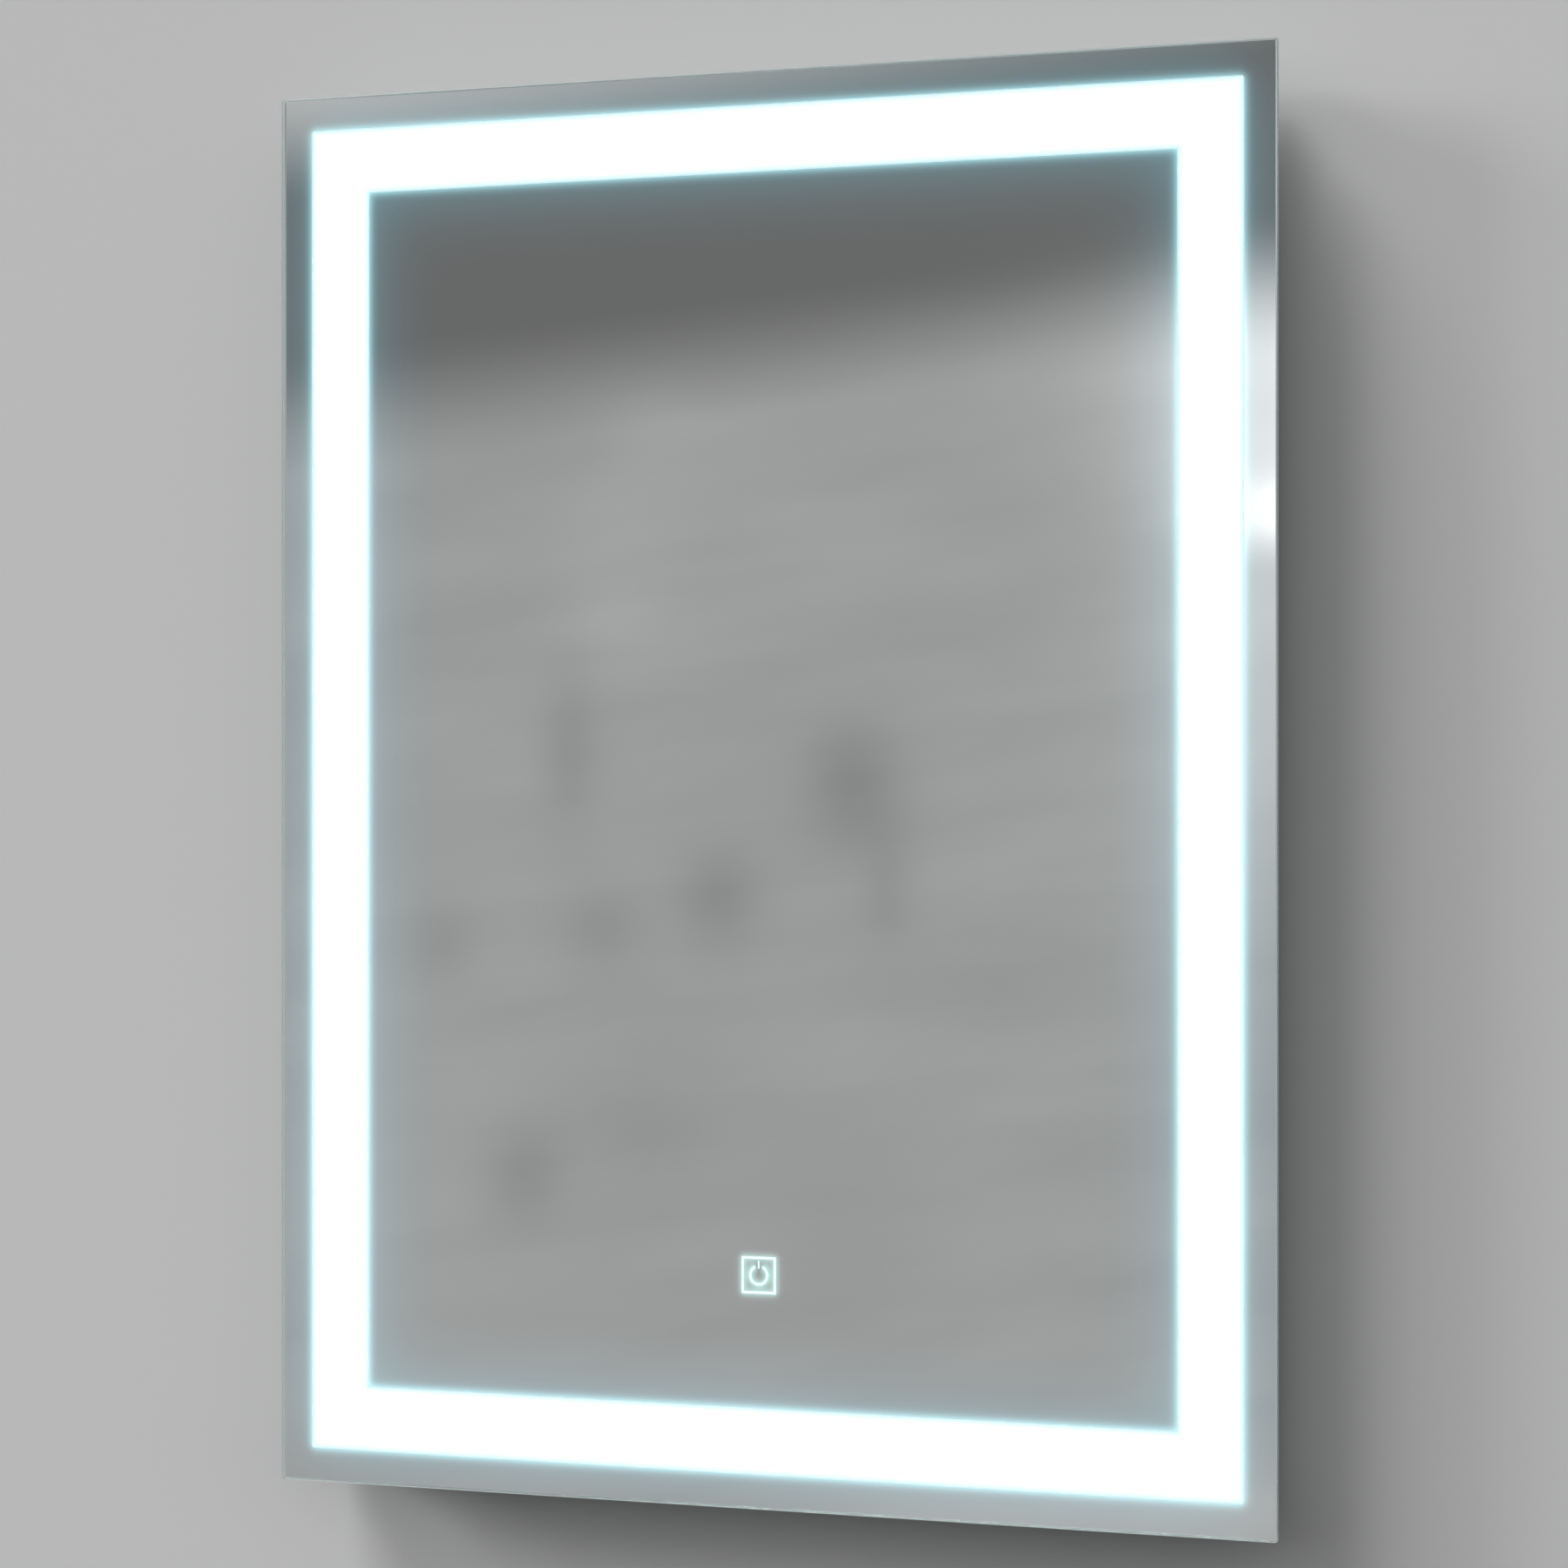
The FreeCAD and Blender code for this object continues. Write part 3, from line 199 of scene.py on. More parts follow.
def makeGrainGroup():
    # fine streaks along one axis, from rolling, drawing or brushing, and broad patches
    group, entry, end = newGroup(
        "drawnLines",
        [("Place", "Vector", (0, 0, 0)), ("Stretch", "Vector", (1, 1, 1)), ("Lines", "Float", 900.0)],
        [("Lines", "Float"), ("Patches", "Float")])
    stretched = calcPlace(group, "MULTIPLY", entry["Place"], entry["Stretch"])
    group.links.new(noise(group, stretched, entry["Lines"], 4.0)[0], end["Lines"])
    group.links.new(noise(group, entry["Place"], **patches)[0], end["Patches"])
    return group


crystal = {"warpScale": 60.0, "warp": 4 * mm, "fernScale": 900.0, "fernCurl": 1.2, "fernShare": 0.5,
           "middleTone": 0.75}


def makeSpangleGroup():
    # the frost-like crystals of hot-dip zinc
    group, entry, end = newGroup(
        "zincSpangle",
        [("Place", "Vector", (0, 0, 0)), ("Scale", "Float", 110.0), ("Contrast", "Float", 0.2)],
        [("Tone", "Float")])
    warp = noise(group, entry["Place"], crystal["warpScale"], 2.0)[1]
    place = calcPlace(group, "ADD", entry["Place"], calcPlace(group, "SCALE", warp, crystal["warp"]))
    cells = addNode(group, "ShaderNodeTexVoronoi", {"Vector": place, "Scale": entry["Scale"]})
    grey = addNode(group, "ShaderNodeSeparateColor", {0: cells.outputs["Color"]}).outputs[0]
    fern = noise(group, place, crystal["fernScale"], 5.0, Distortion=crystal["fernCurl"])[0]
    tone = calc(group, "ADD", grey, calc(group, "MULTIPLY", fern, crystal["fernShare"]))
    centred = calc(group, "SUBTRACT", tone, crystal["middleTone"])
    group.links.new(calc(group, "MULTIPLY", centred, entry["Contrast"]), end["Tone"])
    return group


dust = {"scale": 420.0, "detail": 6.0, "roughness": 0.75, "span": (0.56, 0.72)}


def makeSkinGroup():
    # the slight mottling and spark-eroded grain of moulded plastic and rubber
    group, entry, end = newGroup(
        "mouldedSkin",
        [("Place", "Vector", (0, 0, 0)), ("Grain", "Float", 2500.0), ("Clouds", "Float", 25.0)],
        [("Grain", "Float"), ("Clouds", "Float"), ("Dust", "Float")])
    place = entry["Place"]
    specks = noise(group, place, dust["scale"], dust["detail"], Roughness=dust["roughness"])[0]
    group.links.new(noise(group, place, entry["Grain"], 3.0)[0], end["Grain"])
    group.links.new(noise(group, place, entry["Clouds"], 2.0)[0], end["Clouds"])
    group.links.new(spread(group, specks, *dust["span"], 0.0, 1.0), end["Dust"])
    return group


def makeSoftBoxGroup():
    # 1 inside an upright rectangle and 0 outside it, fading over a reach at its edge
    group, entry, end = newGroup(
        "softRectangle",
        [("Place", "Vector", (0, 0, 0)), ("HalfWidth", "Float", 0.1), ("HalfHeight", "Float", 0.1),
         ("Reach", "Float", 0.002)],
        [("Inside", "Float")])
    parts = placeParts(group, entry["Place"])
    shares = []
    for axis, half in (("X", "HalfWidth"), ("Z", "HalfHeight")):
        beyond = calc(group, "SUBTRACT", calc(group, "ABSOLUTE", parts[axis]), entry[half])
        steps = calc(group, "DIVIDE", beyond, entry["Reach"])
        power = calc(group, "EXPONENT", calc(group, "MINIMUM", steps, 40.0))    # 40 reaches out is nil
        shares.append(calc(group, "DIVIDE", 1.0, calc(group, "ADD", power, 1.0)))
    group.links.new(calc(group, "MULTIPLY", shares[0], shares[1]), end["Inside"])
    return group


drawnLines = makeGrainGroup()
zincSpangle = makeSpangleGroup()
mouldedSkin = makeSkinGroup()
softRectangle = makeSoftBoxGroup()


mark = {"line": 1.7 * mm, "ringRadius": 5.1 * mm, "ringLine": 1.6 * mm, "strokeWidth": 1.2 * mm}
markInnerHalf = markHalf - Vector((mark["line"], 0, mark["line"]))
# painted glow around the band and the touch mark: how far it reaches and its tint
glow = {
    "nearReach": 1.35 * mm, "nearTint": (0.41, 0.81, 0.88),
    "farReach": 11 * mm, "farTint": (0.04, 0.19, 0.24),
    "markReach": 1.0 * mm, "markTint": (0.5, 0.95, 0.85),
    "ringReach": 1.8 * mm, "ringTint": (0.35, 0.8, 0.7),
    "gapAngles": (0.25, 0.6), "gapShare": 0.15,     # radians from the ring's top, and the glow left there
}


def makeGlowGroup():
    # painted glow: emission laid on the silvering beside the etched band and the touch mark, standing for
    # the light that spills into the glass around them
    group, entry, end = newGroup("paintedSpillGlow", [("Place", "Vector", (0, 0, 0))], [("Light", "Color")])
    middle = calcPlace(group, "SUBTRACT", entry["Place"], mirrorMiddle)
    atMark = calcPlace(group, "SUBTRACT", entry["Place"], markMiddle)

    def spill(place, outer, inner, reach):
        # between two rectangles the share is 1, and it fades over the reach on both sides
        sizes = [{"halfWidth": half.x, "halfHeight": half.z} for half in (outer, inner)]
        inside = [useGroup(group, softRectangle, place=place, reach=reach, **size)["Inside"]
                  for size in sizes]
        return calc(group, "MAXIMUM", calc(group, "SUBTRACT", *inside), 0.0)

    side = placeParts(group, atMark)
    radius = calcPlace(group, "LENGTH", flatPlace(group, side["X"], side["Z"]))
    off = calc(group, "ABSOLUTE", calc(group, "SUBTRACT", radius, mark["ringRadius"]))
    fade = calc(group, "EXPONENT", calc(group, "DIVIDE", off, -glow["ringReach"]))
    fromTop = calc(group, "ARCTAN2", calc(group, "ABSOLUTE", side["X"]), side["Z"])
    atRing = calc(group, "MULTIPLY", fade, spread(group, fromTop, *glow["gapAngles"], glow["gapShare"], 1.0))
    glows = [
        (spill(middle, bandHalf, fieldHalf, glow["nearReach"]), glow["nearTint"]),
        (spill(middle, bandHalf, fieldHalf, glow["farReach"]), glow["farTint"]),
        (spill(atMark, markHalf, markInnerHalf, glow["markReach"]), glow["markTint"]),
        (atRing, glow["ringTint"]),
    ]
    lights = [calcPlace(group, "SCALE", tint, amount) for amount, tint in glows]
    total = lights[0]
    for light in lights[1:]:
        total = calcPlace(group, "ADD", total, light)
    group.links.new(total, end["Light"])
    return group


paintedSpillGlow = makeGlowGroup()
print("node groups made")


glass = {
    "tint": colour(0.996, 1.0, 0.998),
    "edgeTint": colour(0.22, 0.34, 0.31),
    "paintedEdgeGlow": colour(0.15, 0.165, 0.165),     # painted glow on the ground edges, standing for the band's light that leaves by them
    "edgeFacing": (0.6, 0.95),                  # how squarely a polished face looks out of the wall
    "edgeRough": (0.196, 0.364),
    "grindStretch": (1, 8, 1), "grindLines": 700.0, "grindDepth": 0.05 * mm, "grindStrength": 0.6,
}
silver = {
    "tint": colour(0.94, 0.945, 0.945),
    "paint": colour(0.235, 0.262, 0.275), "paintShade": (0.86, 1.12), "paintRough": 0.42,
    "backFacing": (0.3, 0.6), "grain": 1400.0, "clouds": 14.0, "depth": 0.02 * mm,
}
etch = {
    "light": colour(0.93, 1.0, 1.0), "edgeLight": colour(0.12, 0.27, 0.3), "strength": 1.45,
    "bandRise": 12 * mm, "markRise": 2.4 * mm, "curve": 0.7,    # the light grows inward over the rise
    "body": colour(0.88, 0.93, 0.93), "second": colour(0.8, 0.87, 0.86),
    "grain": 5200.0, "clouds": 70.0, "rough": (0.5, 0.68), "depth": 0.03,
}


def facing(tree, axis):
    normal = addNode(tree, "ShaderNodeTexCoord").outputs["Normal"]
    return placeParts(tree, normal)[axis]


def paneGlass():
    plain = {"IOR": 1.5, "Transmission_Weight": 1.0, "Emission_Strength": 1.0}
    material, tree, shader = newMaterial("paneGlass", **plain)
    place = objectPlace(tree)
    edge = spread(tree, calc(tree, "ABSOLUTE", facing(tree, "Y")), *glass["edgeFacing"], 1.0, 0.0)
    grinding = useGroup(tree, drawnLines, place=place, stretch=glass["grindStretch"],
                        lines=glass["grindLines"])["Lines"]
    feed(tree, shader, "Base Color", blendColours(tree, edge, glass["tint"], glass["edgeTint"]))
    # painted glow on the ground edges, given as emission
    feed(tree, shader, "Emission Color", blendColours(tree, edge, colour(0, 0, 0), glass["paintedEdgeGlow"]))
    ground = spread(tree, grinding, *noiseSpan, *glass["edgeRough"])
    feed(tree, shader, "Roughness", calc(tree, "MULTIPLY", edge, ground))
    height = calc(tree, "MULTIPLY", edge, grinding)
    addBump(tree, shader, height, glass["grindDepth"], glass["grindStrength"])
    return material


def silvering():
    # a mirror from the front, and the grey paint that guards it from behind
    material, tree, shader = newMaterial("silvering", IOR=1.45, Emission_Strength=1.0)
    place = objectPlace(tree)
    back = spread(tree, facing(tree, "Y"), *silver["backFacing"], 0.0, 1.0)
    skin = useGroup(tree, mouldedSkin, place=place, grain=silver["grain"], clouds=silver["clouds"])
    shade = spread(tree, skin["Clouds"], *noiseSpan, *silver["paintShade"])
    shades = addNode(tree, "ShaderNodeCombineColor", {0: shade, 1: shade, 2: shade}).outputs[0]
    paint = blendColours(tree, 1.0, silver["paint"], shades, "MULTIPLY")
    feed(tree, shader, "Base Color", blendColours(tree, back, silver["tint"], paint))
    feed(tree, shader, "Metallic", calc(tree, "SUBTRACT", 1.0, back))
    feed(tree, shader, "Roughness", calc(tree, "MULTIPLY", back, silver["paintRough"]))
    # painted glow on the mirror's front, given as emission beside the band and the mark
    light = useGroup(tree, paintedSpillGlow, place=place)["Light"]
    feed(tree, shader, "Emission Color", blendColours(tree, back, light, colour(0, 0, 0)))
    addBump(tree, shader, calc(tree, "MULTIPLY", back, skin["Grain"]), silver["depth"])
    return material


def depthInBand(tree, place):
    # how far a point of the band lies from its nearer edge
    middle = calcPlace(tree, "SUBTRACT", place, mirrorMiddle)
    parts = placeParts(tree, calcPlace(tree, "ABSOLUTE", middle))
    toOuter = calc(tree, "MINIMUM", calc(tree, "SUBTRACT", bandHalf.x, parts["X"]),
                   calc(tree, "SUBTRACT", bandHalf.z, parts["Z"]))
    toInner = calc(tree, "MAXIMUM", calc(tree, "SUBTRACT", parts["X"], fieldHalf.x),
                   calc(tree, "SUBTRACT", parts["Z"], fieldHalf.z))
    return calc(tree, "MINIMUM", toOuter, toInner)


def depthInMark(tree, place):
    # the same for the lines of the square, the ring and the stroke
    parts = placeParts(tree, calcPlace(tree, "SUBTRACT", place, markMiddle))
    across, upright = calc(tree, "ABSOLUTE", parts["X"]), calc(tree, "ABSOLUTE", parts["Z"])
    radius = calcPlace(tree, "LENGTH", flatPlace(tree, across, upright))

    def inLine(value, centre, width):
        off = calc(tree, "ABSOLUTE", calc(tree, "SUBTRACT", value, centre))
        return calc(tree, "SUBTRACT", width / 2, off)

    inSquare = inLine(calc(tree, "MAXIMUM", across, upright), markHalf.x - mark["line"] / 2, mark["line"])
    inRing = inLine(radius, mark["ringRadius"], mark["ringLine"])
    inStroke = inLine(across, 0.0, mark["strokeWidth"])
    near = mark["strokeWidth"] / 2 + 0.05 * mm      # a hair over, so that the stroke's edge counts
    onStroke = calc(tree, "MULTIPLY", calc(tree, "LESS_THAN", across, near),
                    calc(tree, "GREATER_THAN", parts["Z"], 0.0))
    inner = spread(tree, onStroke, 0.0, 1.0, inRing, inStroke)
    return calc(tree, "MAXIMUM", inSquare, inner)


def etchedGlass(name, depthIn, rise):
    material, tree, shader = newMaterial(name, IOR=1.5, Emission_Strength=etch["strength"])
    place = objectPlace(tree)
    skin = useGroup(tree, mouldedSkin, place=place, grain=etch["grain"], clouds=etch["clouds"])
    feed(tree, shader, "Base Color", blendColours(tree, skin["Grain"], etch["body"], etch["second"]))
    depth = spread(tree, depthIn(tree, place), 0.0, rise, 0.0, 1.0)
    level = calc(tree, "POWER", depth, etch["curve"])
    feed(tree, shader, "Emission Color", blendColours(tree, level, etch["edgeLight"], etch["light"]))
    addGrain(tree, shader, skin, etch)
    return material


# tone of the metal, the stretch and scale of its lines, roughness, and depth in millimetres
metalFinishes = {
    "troughAcross": {"tone": (0.74, 0.75, 0.765), "stretch": (0.01, 1, 1), "lines": 1500.0,
                     "rough": (0.26, 0.4), "depth": 0.01},
    "troughUpright": {"tone": (0.74, 0.75, 0.765), "stretch": (1, 1, 0.01), "lines": 1500.0,
                      "rough": (0.26, 0.4), "depth": 0.01},
    "railZinc": {"tone": (0.60, 0.615, 0.64), "stretch": (0.02, 1, 1), "lines": 700.0,
                 "rough": (0.28, 0.44), "depth": 0.012},
    "keyZinc": {"tone": (0.58, 0.60, 0.62), "stretch": (0.05, 1, 1), "lines": 500.0,
                "rough": (0.3, 0.5), "depth": 0.012},
    "brightZinc": {"tone": (0.70, 0.715, 0.735), "stretch": (1, 1, 1), "lines": 1800.0,
                   "rough": (0.2, 0.36), "depth": 0.006},
    "brass": {"tone": (0.78, 0.60, 0.29), "stretch": (1, 1, 0.05), "lines": 1600.0,
              "rough": (0.22, 0.38), "depth": 0.006},
    "rivetMetal": {"tone": (0.72, 0.725, 0.735), "stretch": (1, 1, 1), "lines": 1200.0,
                   "rough": (0.36, 0.5), "depth": 0.006},
    "tinnedCopper": {"tone": (0.78, 0.50, 0.32), "stretch": (1, 1, 1), "lines": 1600.0,
                     "rough": (0.25, 0.4), "depth": 0.004},
}
drawing = {"lightShare": 1.08, "darkShare": 0.84, "patchSpan": (0.35, 0.65), "patchShare": 0.35,
           "rounding": 0.2 * mm}


def drawnMetal(name):
    look = metalFinishes[name]
    material, tree, shader = newMaterial(name, Metallic=1.0)
    place = objectPlace(tree)
    lines = useGroup(tree, drawnLines, place=place, stretch=look["stretch"], lines=look["lines"])
    light = colour(*[min(part * drawing["lightShare"], 1.0) for part in look["tone"]])
    dark = colour(*[part * drawing["darkShare"] for part in look["tone"]])
    streaks = blendColours(tree, spread(tree, lines["Lines"], *noiseSpan, 0.0, 1.0), dark, light)
    dull = spread(tree, lines["Patches"], *drawing["patchSpan"], 0.0, drawing["patchShare"])
    feed(tree, shader, "Base Color", blendColours(tree, dull, streaks, dark))
    feed(tree, shader, "Roughness", spread(tree, lines["Lines"], *noiseSpan, *look["rough"]))
    addBump(tree, shader, lines["Lines"], look["depth"] * mm, rounding=drawing["rounding"])
    return material


dippedSheet = {
    "scale": 170.0, "contrast": 0.3, "toneSpan": (-0.25, 0.25),
    "dark": colour(0.50, 0.515, 0.53), "light": colour(0.70, 0.715, 0.73),
    "rollStretch": (1, 1, 0.02), "rollLines": 420.0, "rollSpan": (0.35, 0.65), "rollShare": 0.3,
    "rollTone": colour(0.48, 0.49, 0.5),
    "roughSpan": (-0.3, 0.3), "rough": (0.34, 0.52), "depth": 0.02 * mm, "rounding": 0.3 * mm,
}


def galvanisedSheet():
    look = dippedSheet
    material, tree, shader = newMaterial("galvanisedSheet", Metallic=1.0)
    place = objectPlace(tree)
    tone = useGroup(tree, zincSpangle, place=place, scale=look["scale"], contrast=look["contrast"])["Tone"]
    lines = useGroup(tree, drawnLines, place=place, stretch=look["rollStretch"], lines=look["rollLines"])
    grey = blendColours(tree, spread(tree, tone, *look["toneSpan"], 0.0, 1.0), look["dark"], look["light"])
    rolled = spread(tree, lines["Lines"], *look["rollSpan"], 0.0, look["rollShare"])
    feed(tree, shader, "Base Color", blendColours(tree, rolled, grey, look["rollTone"]))
    feed(tree, shader, "Roughness", spread(tree, tone, *look["roughSpan"], *look["rough"]))
    addBump(tree, shader, tone, look["depth"], rounding=look["rounding"])
    return material


# two tones that the clouds blend, roughness, scale of the grain, its depth in millimetres, and dust
skinFinishes = {
    "blackRubber": {"tone": (0.028, 0.028, 0.03), "second": (0.05, 0.05, 0.052), "rough": (0.62, 0.8),
                    "grain": 1800.0, "depth": 0.05, "dust": 0.25},
    "foamTape": {"tone": (0.05, 0.05, 0.053), "second": (0.085, 0.085, 0.09), "rough": (0.85, 0.98),
                 "grain": 2600.0, "depth": 0.15, "dust": 0.1},
    "opalSheet": {"tone": (0.86, 0.87, 0.86), "second": (0.80, 0.81, 0.80), "rough": (0.35, 0.5),
                  "grain": 4000.0, "depth": 0.01, "dust": 0.0},
    "greyBox": {"tone": (0.66, 0.665, 0.65), "second": (0.60, 0.605, 0.59), "rough": (0.42, 0.6),
                "grain": 2400.0, "depth": 0.03, "dust": 0.1},
    "whiteCase": {"tone": (0.80, 0.80, 0.785), "second": (0.74, 0.74, 0.725), "rough": (0.38, 0.55),
                  "grain": 2400.0, "depth": 0.03, "dust": 0.1},
    "nylon": {"tone": (0.78, 0.77, 0.72), "second": (0.72, 0.705, 0.65), "rough": (0.35, 0.5),
              "grain": 1500.0, "depth": 0.02, "dust": 0.0},
    "whiteFrame": {"tone": (0.83, 0.83, 0.82), "second": (0.78, 0.78, 0.77), "rough": (0.4, 0.55),
                   "grain": 2400.0, "depth": 0.02, "dust": 0.0},
    "blackModule": {"tone": (0.035, 0.035, 0.038), "second": (0.06, 0.06, 0.064), "rough": (0.42, 0.6),
                    "grain": 2200.0, "depth": 0.04, "dust": 0.15},
    "darkParts": {"tone": (0.04, 0.04, 0.045), "second": (0.075, 0.072, 0.07), "rough": (0.35, 0.55),
                  "grain": 1500.0, "depth": 0.02, "dust": 0.1},
    "lampBody": {"tone": (0.84, 0.84, 0.81), "second": (0.78, 0.78, 0.75), "rough": (0.3, 0.45),
                 "grain": 5000.0, "depth": 0.005, "dust": 0.0},
    "whiteLead": {"tone": (0.80, 0.80, 0.79), "second": (0.72, 0.72, 0.71), "rough": (0.4, 0.55),
                  "grain": 900.0, "depth": 0.02, "dust": 0.05},
    "greyLead": {"tone": (0.25, 0.255, 0.265), "second": (0.20, 0.205, 0.215), "rough": (0.4, 0.55),
                 "grain": 900.0, "depth": 0.02, "dust": 0.05},
}
moulding = {"clouds": 30.0, "dustTone": colour(0.5, 0.49, 0.47), "rounding": 0.15 * mm}


def mouldedPlastic(name):
    look = skinFinishes[name]
    material, tree, shader = newMaterial(name, IOR=1.5)
    place = objectPlace(tree)
    skin = useGroup(tree, mouldedSkin, place=place, grain=look["grain"], clouds=moulding["clouds"])
    body = blendColours(tree, spread(tree, skin["Clouds"], *noiseSpan, 0.0, 1.0),
                        colour(*look["tone"]), colour(*look["second"]))
    dusty = calc(tree, "MULTIPLY", skin["Dust"], look["dust"])
    feed(tree, shader, "Base Color", blendColours(tree, dusty, body, moulding["dustTone"]))
    addGrain(tree, shader, skin, look, moulding["rounding"])
    return material


def mottledSkin(name, look, centre=(0, 0, 0)):
    # a skin whose clouds blend two tones, for a pattern to be laid over
    material, tree, shader = newMaterial(name, IOR=look["ior"])
    place = objectPlace(tree, centre)
    skin = useGroup(tree, mouldedSkin, place=place, grain=look["grain"], clouds=look["clouds"])
    body = blendColours(tree, skin["Clouds"], colour(*look["tone"]), colour(*look["second"]))
    return material, tree, shader, place, skin, body


circuit = {"tone": (0.012, 0.13, 0.06), "second": (0.02, 0.17, 0.08), "rough": (0.22, 0.36), "ior": 1.55,
           "grain": 3000.0, "clouds": 60.0, "cells": 260.0,
           "track": colour(0.05, 0.27, 0.13), "trackEdge": (0.05, 0.09), "trackDepth": 0.03 * mm}


def circuitBoard():
    # tracks run between the cells under the solder mask
    material, tree, shader, place, skin, mask = mottledSkin("circuitBoard", circuit)
    cells = addNode(tree, "ShaderNodeTexVoronoi", {"Vector": place, "Scale": circuit["cells"]},
                    distance="CHEBYCHEV", feature="DISTANCE_TO_EDGE")
    track = spread(tree, cells.outputs["Distance"], *circuit["trackEdge"], 1.0, 0.0)
    feed(tree, shader, "Base Color", blendColours(tree, track, mask, circuit["track"]))
    feed(tree, shader, "Roughness", spread(tree, skin["Grain"], *noiseSpan, *circuit["rough"]))
    addBump(tree, shader, track, circuit["trackDepth"])
    return material


lightTape = {"tone": (0.82, 0.82, 0.78), "second": (0.76, 0.76, 0.72), "rough": (0.4, 0.55), "ior": 1.5,
             "grain": 2600.0, "clouds": 50.0, "depth": 0.02,
             "halfCut": 25 * mm, "padEdge": (22 * mm, 22.6 * mm), "pad": colour(0.72, 0.5, 0.26)}


def lightBoard(alongX):
    # white board with copper pads at each cutting line, one line between every two lights
    name = "lightBoardAcross" if alongX else "lightBoardUpright"
    material, tree, shader, place, skin, white = mottledSkin(name, lightTape, mirrorMiddle)
    along = placeParts(tree, place)["X" if alongX else "Z"]
    half = lightTape["halfCut"]
    toMiddle = calc(tree, "ABSOLUTE", calc(tree, "WRAP", along, half, -half))
    pads = spread(tree, toMiddle, *lightTape["padEdge"], 0.0, 1.0)
    feed(tree, shader, "Base Color", blendColours(tree, pads, white, lightTape["pad"]))
    addGrain(tree, shader, skin, lightTape)
    return material


sheath = {"tone": (0.05, 0.25, 0.05), "second": (0.07, 0.31, 0.06), "rough": (0.38, 0.52), "ior": 1.5,
          "grain": 1200.0, "clouds": 60.0, "depth": 0.02,
          "stripe": colour(0.75, 0.62, 0.05), "stripeEdge": 0.2 * mm}


def earthSheath():
    material, tree, shader, place, skin, green = mottledSkin("earthSheath", sheath, middleOf("earth_lead"))
    edge = sheath["stripeEdge"]
    stripe = spread(tree, placeParts(tree, place)["X"], -edge, edge, 0.0, 1.0)
    feed(tree, shader, "Base Color", blendColours(tree, stripe, green, sheath["stripe"]))
    addGrain(tree, shader, skin, sheath)
    return material


phosphor = {"tone": (0.85, 0.72, 0.22), "second": (0.9, 0.8, 0.35), "rough": (0.3, 0.45), "ior": 1.5,
            "grain": 3500.0, "clouds": 200.0, "depth": 0.01}


def lampPhosphor():
    material, tree, shader, _, skin, body = mottledSkin("lampPhosphor", phosphor)
    feed(tree, shader, "Base Color", body)
    addGrain(tree, shader, skin, phosphor)
    return material


finishes = {name: drawnMetal(name) for name in metalFinishes}
finishes.update({name: mouldedPlastic(name) for name in skinFinishes})
finishes.update({
    "paneGlass": paneGlass(), "silvering": silvering(),
    "etchedBand": etchedGlass("etchedBand", depthInBand, etch["bandRise"]),
    "etchedMark": etchedGlass("etchedMark", depthInMark, etch["markRise"]),
    "galvanisedSheet": galvanisedSheet(), "circuitBoard": circuitBoard(), "earthSheath": earthSheath(),
    "lightBoardAcross": lightBoard(True), "lightBoardUpright": lightBoard(False),
    "lampPhosphor": lampPhosphor(),
})

nodeFinish = {
    "paneGlass": ["glass_pane"],
    "silvering": ["silver_border", "silver_field"],
    "etchedBand": ["etched_band"],
    "etchedMark": ["touch_mark"],
    "foamTape": ["bonding_tape", "touch_tape"],
    "troughAcross": ["trough_top", "trough_bottom"],
    "troughUpright": ["trough_left", "trough_right"],
    "keyZinc": ["corner_keys"],
    "opalSheet": ["diffuser_top", "diffuser_bottom", "diffuser_left", "diffuser_right"],
    "lightBoardAcross": ["light_strip_top", "light_strip_bottom"],
    "lightBoardUpright": ["light_strip_left", "light_strip_right"],
    "lampPhosphor": ["leds_top", "leds_bottom", "leds_left", "leds_right", "touch_leds"],
    "galvanisedSheet": ["back_cover"],
    "railZinc": ["wall_rail", "hanger"],
    "brightZinc": ["cover_screws", "hanger_rivets", "terminal_lid_screws", "terminal_clamp_screws",
                   "driver_screws", "earth_stud", "earth_nut_and_washer"],
    "blackRubber": ["wall_bumpers", "cable_grommet"],
    "greyBox": ["terminal_box", "terminal_lid"],
    "nylon": ["terminal_block", "lead_clips"],
    "brass": ["terminal_sleeves"],
    "whiteCase": ["driver_base", "driver_cover"],
    "circuitBoard": ["driver_board", "touch_board"],
    "darkParts": ["driver_components"],
    "earthSheath": ["earth_lead"],
    "whiteFrame": ["touch_light_frame"],
    "tinnedCopper": ["touch_sensor_pad"],
    "blackModule": ["touch_cover"],
    "whiteLead": ["supply_lead", "strip_lead", "strip_jumpers"],
    "greyLead": ["touch_lead"],
}
for finish, members in nodeFinish.items():
    for name in members:
        nodes[name].data.materials.clear()
        nodes[name].data.materials.append(finishes[finish])
dressed = sum(len(members) for members in nodeFinish.values())
print("finishes given to", dressed, "nodes")


def pickOnly(piece):
    bpy.ops.object.select_all(action="DESELECT")
    piece.select_set(True)
    bpy.context.view_layer.objects.active = piece


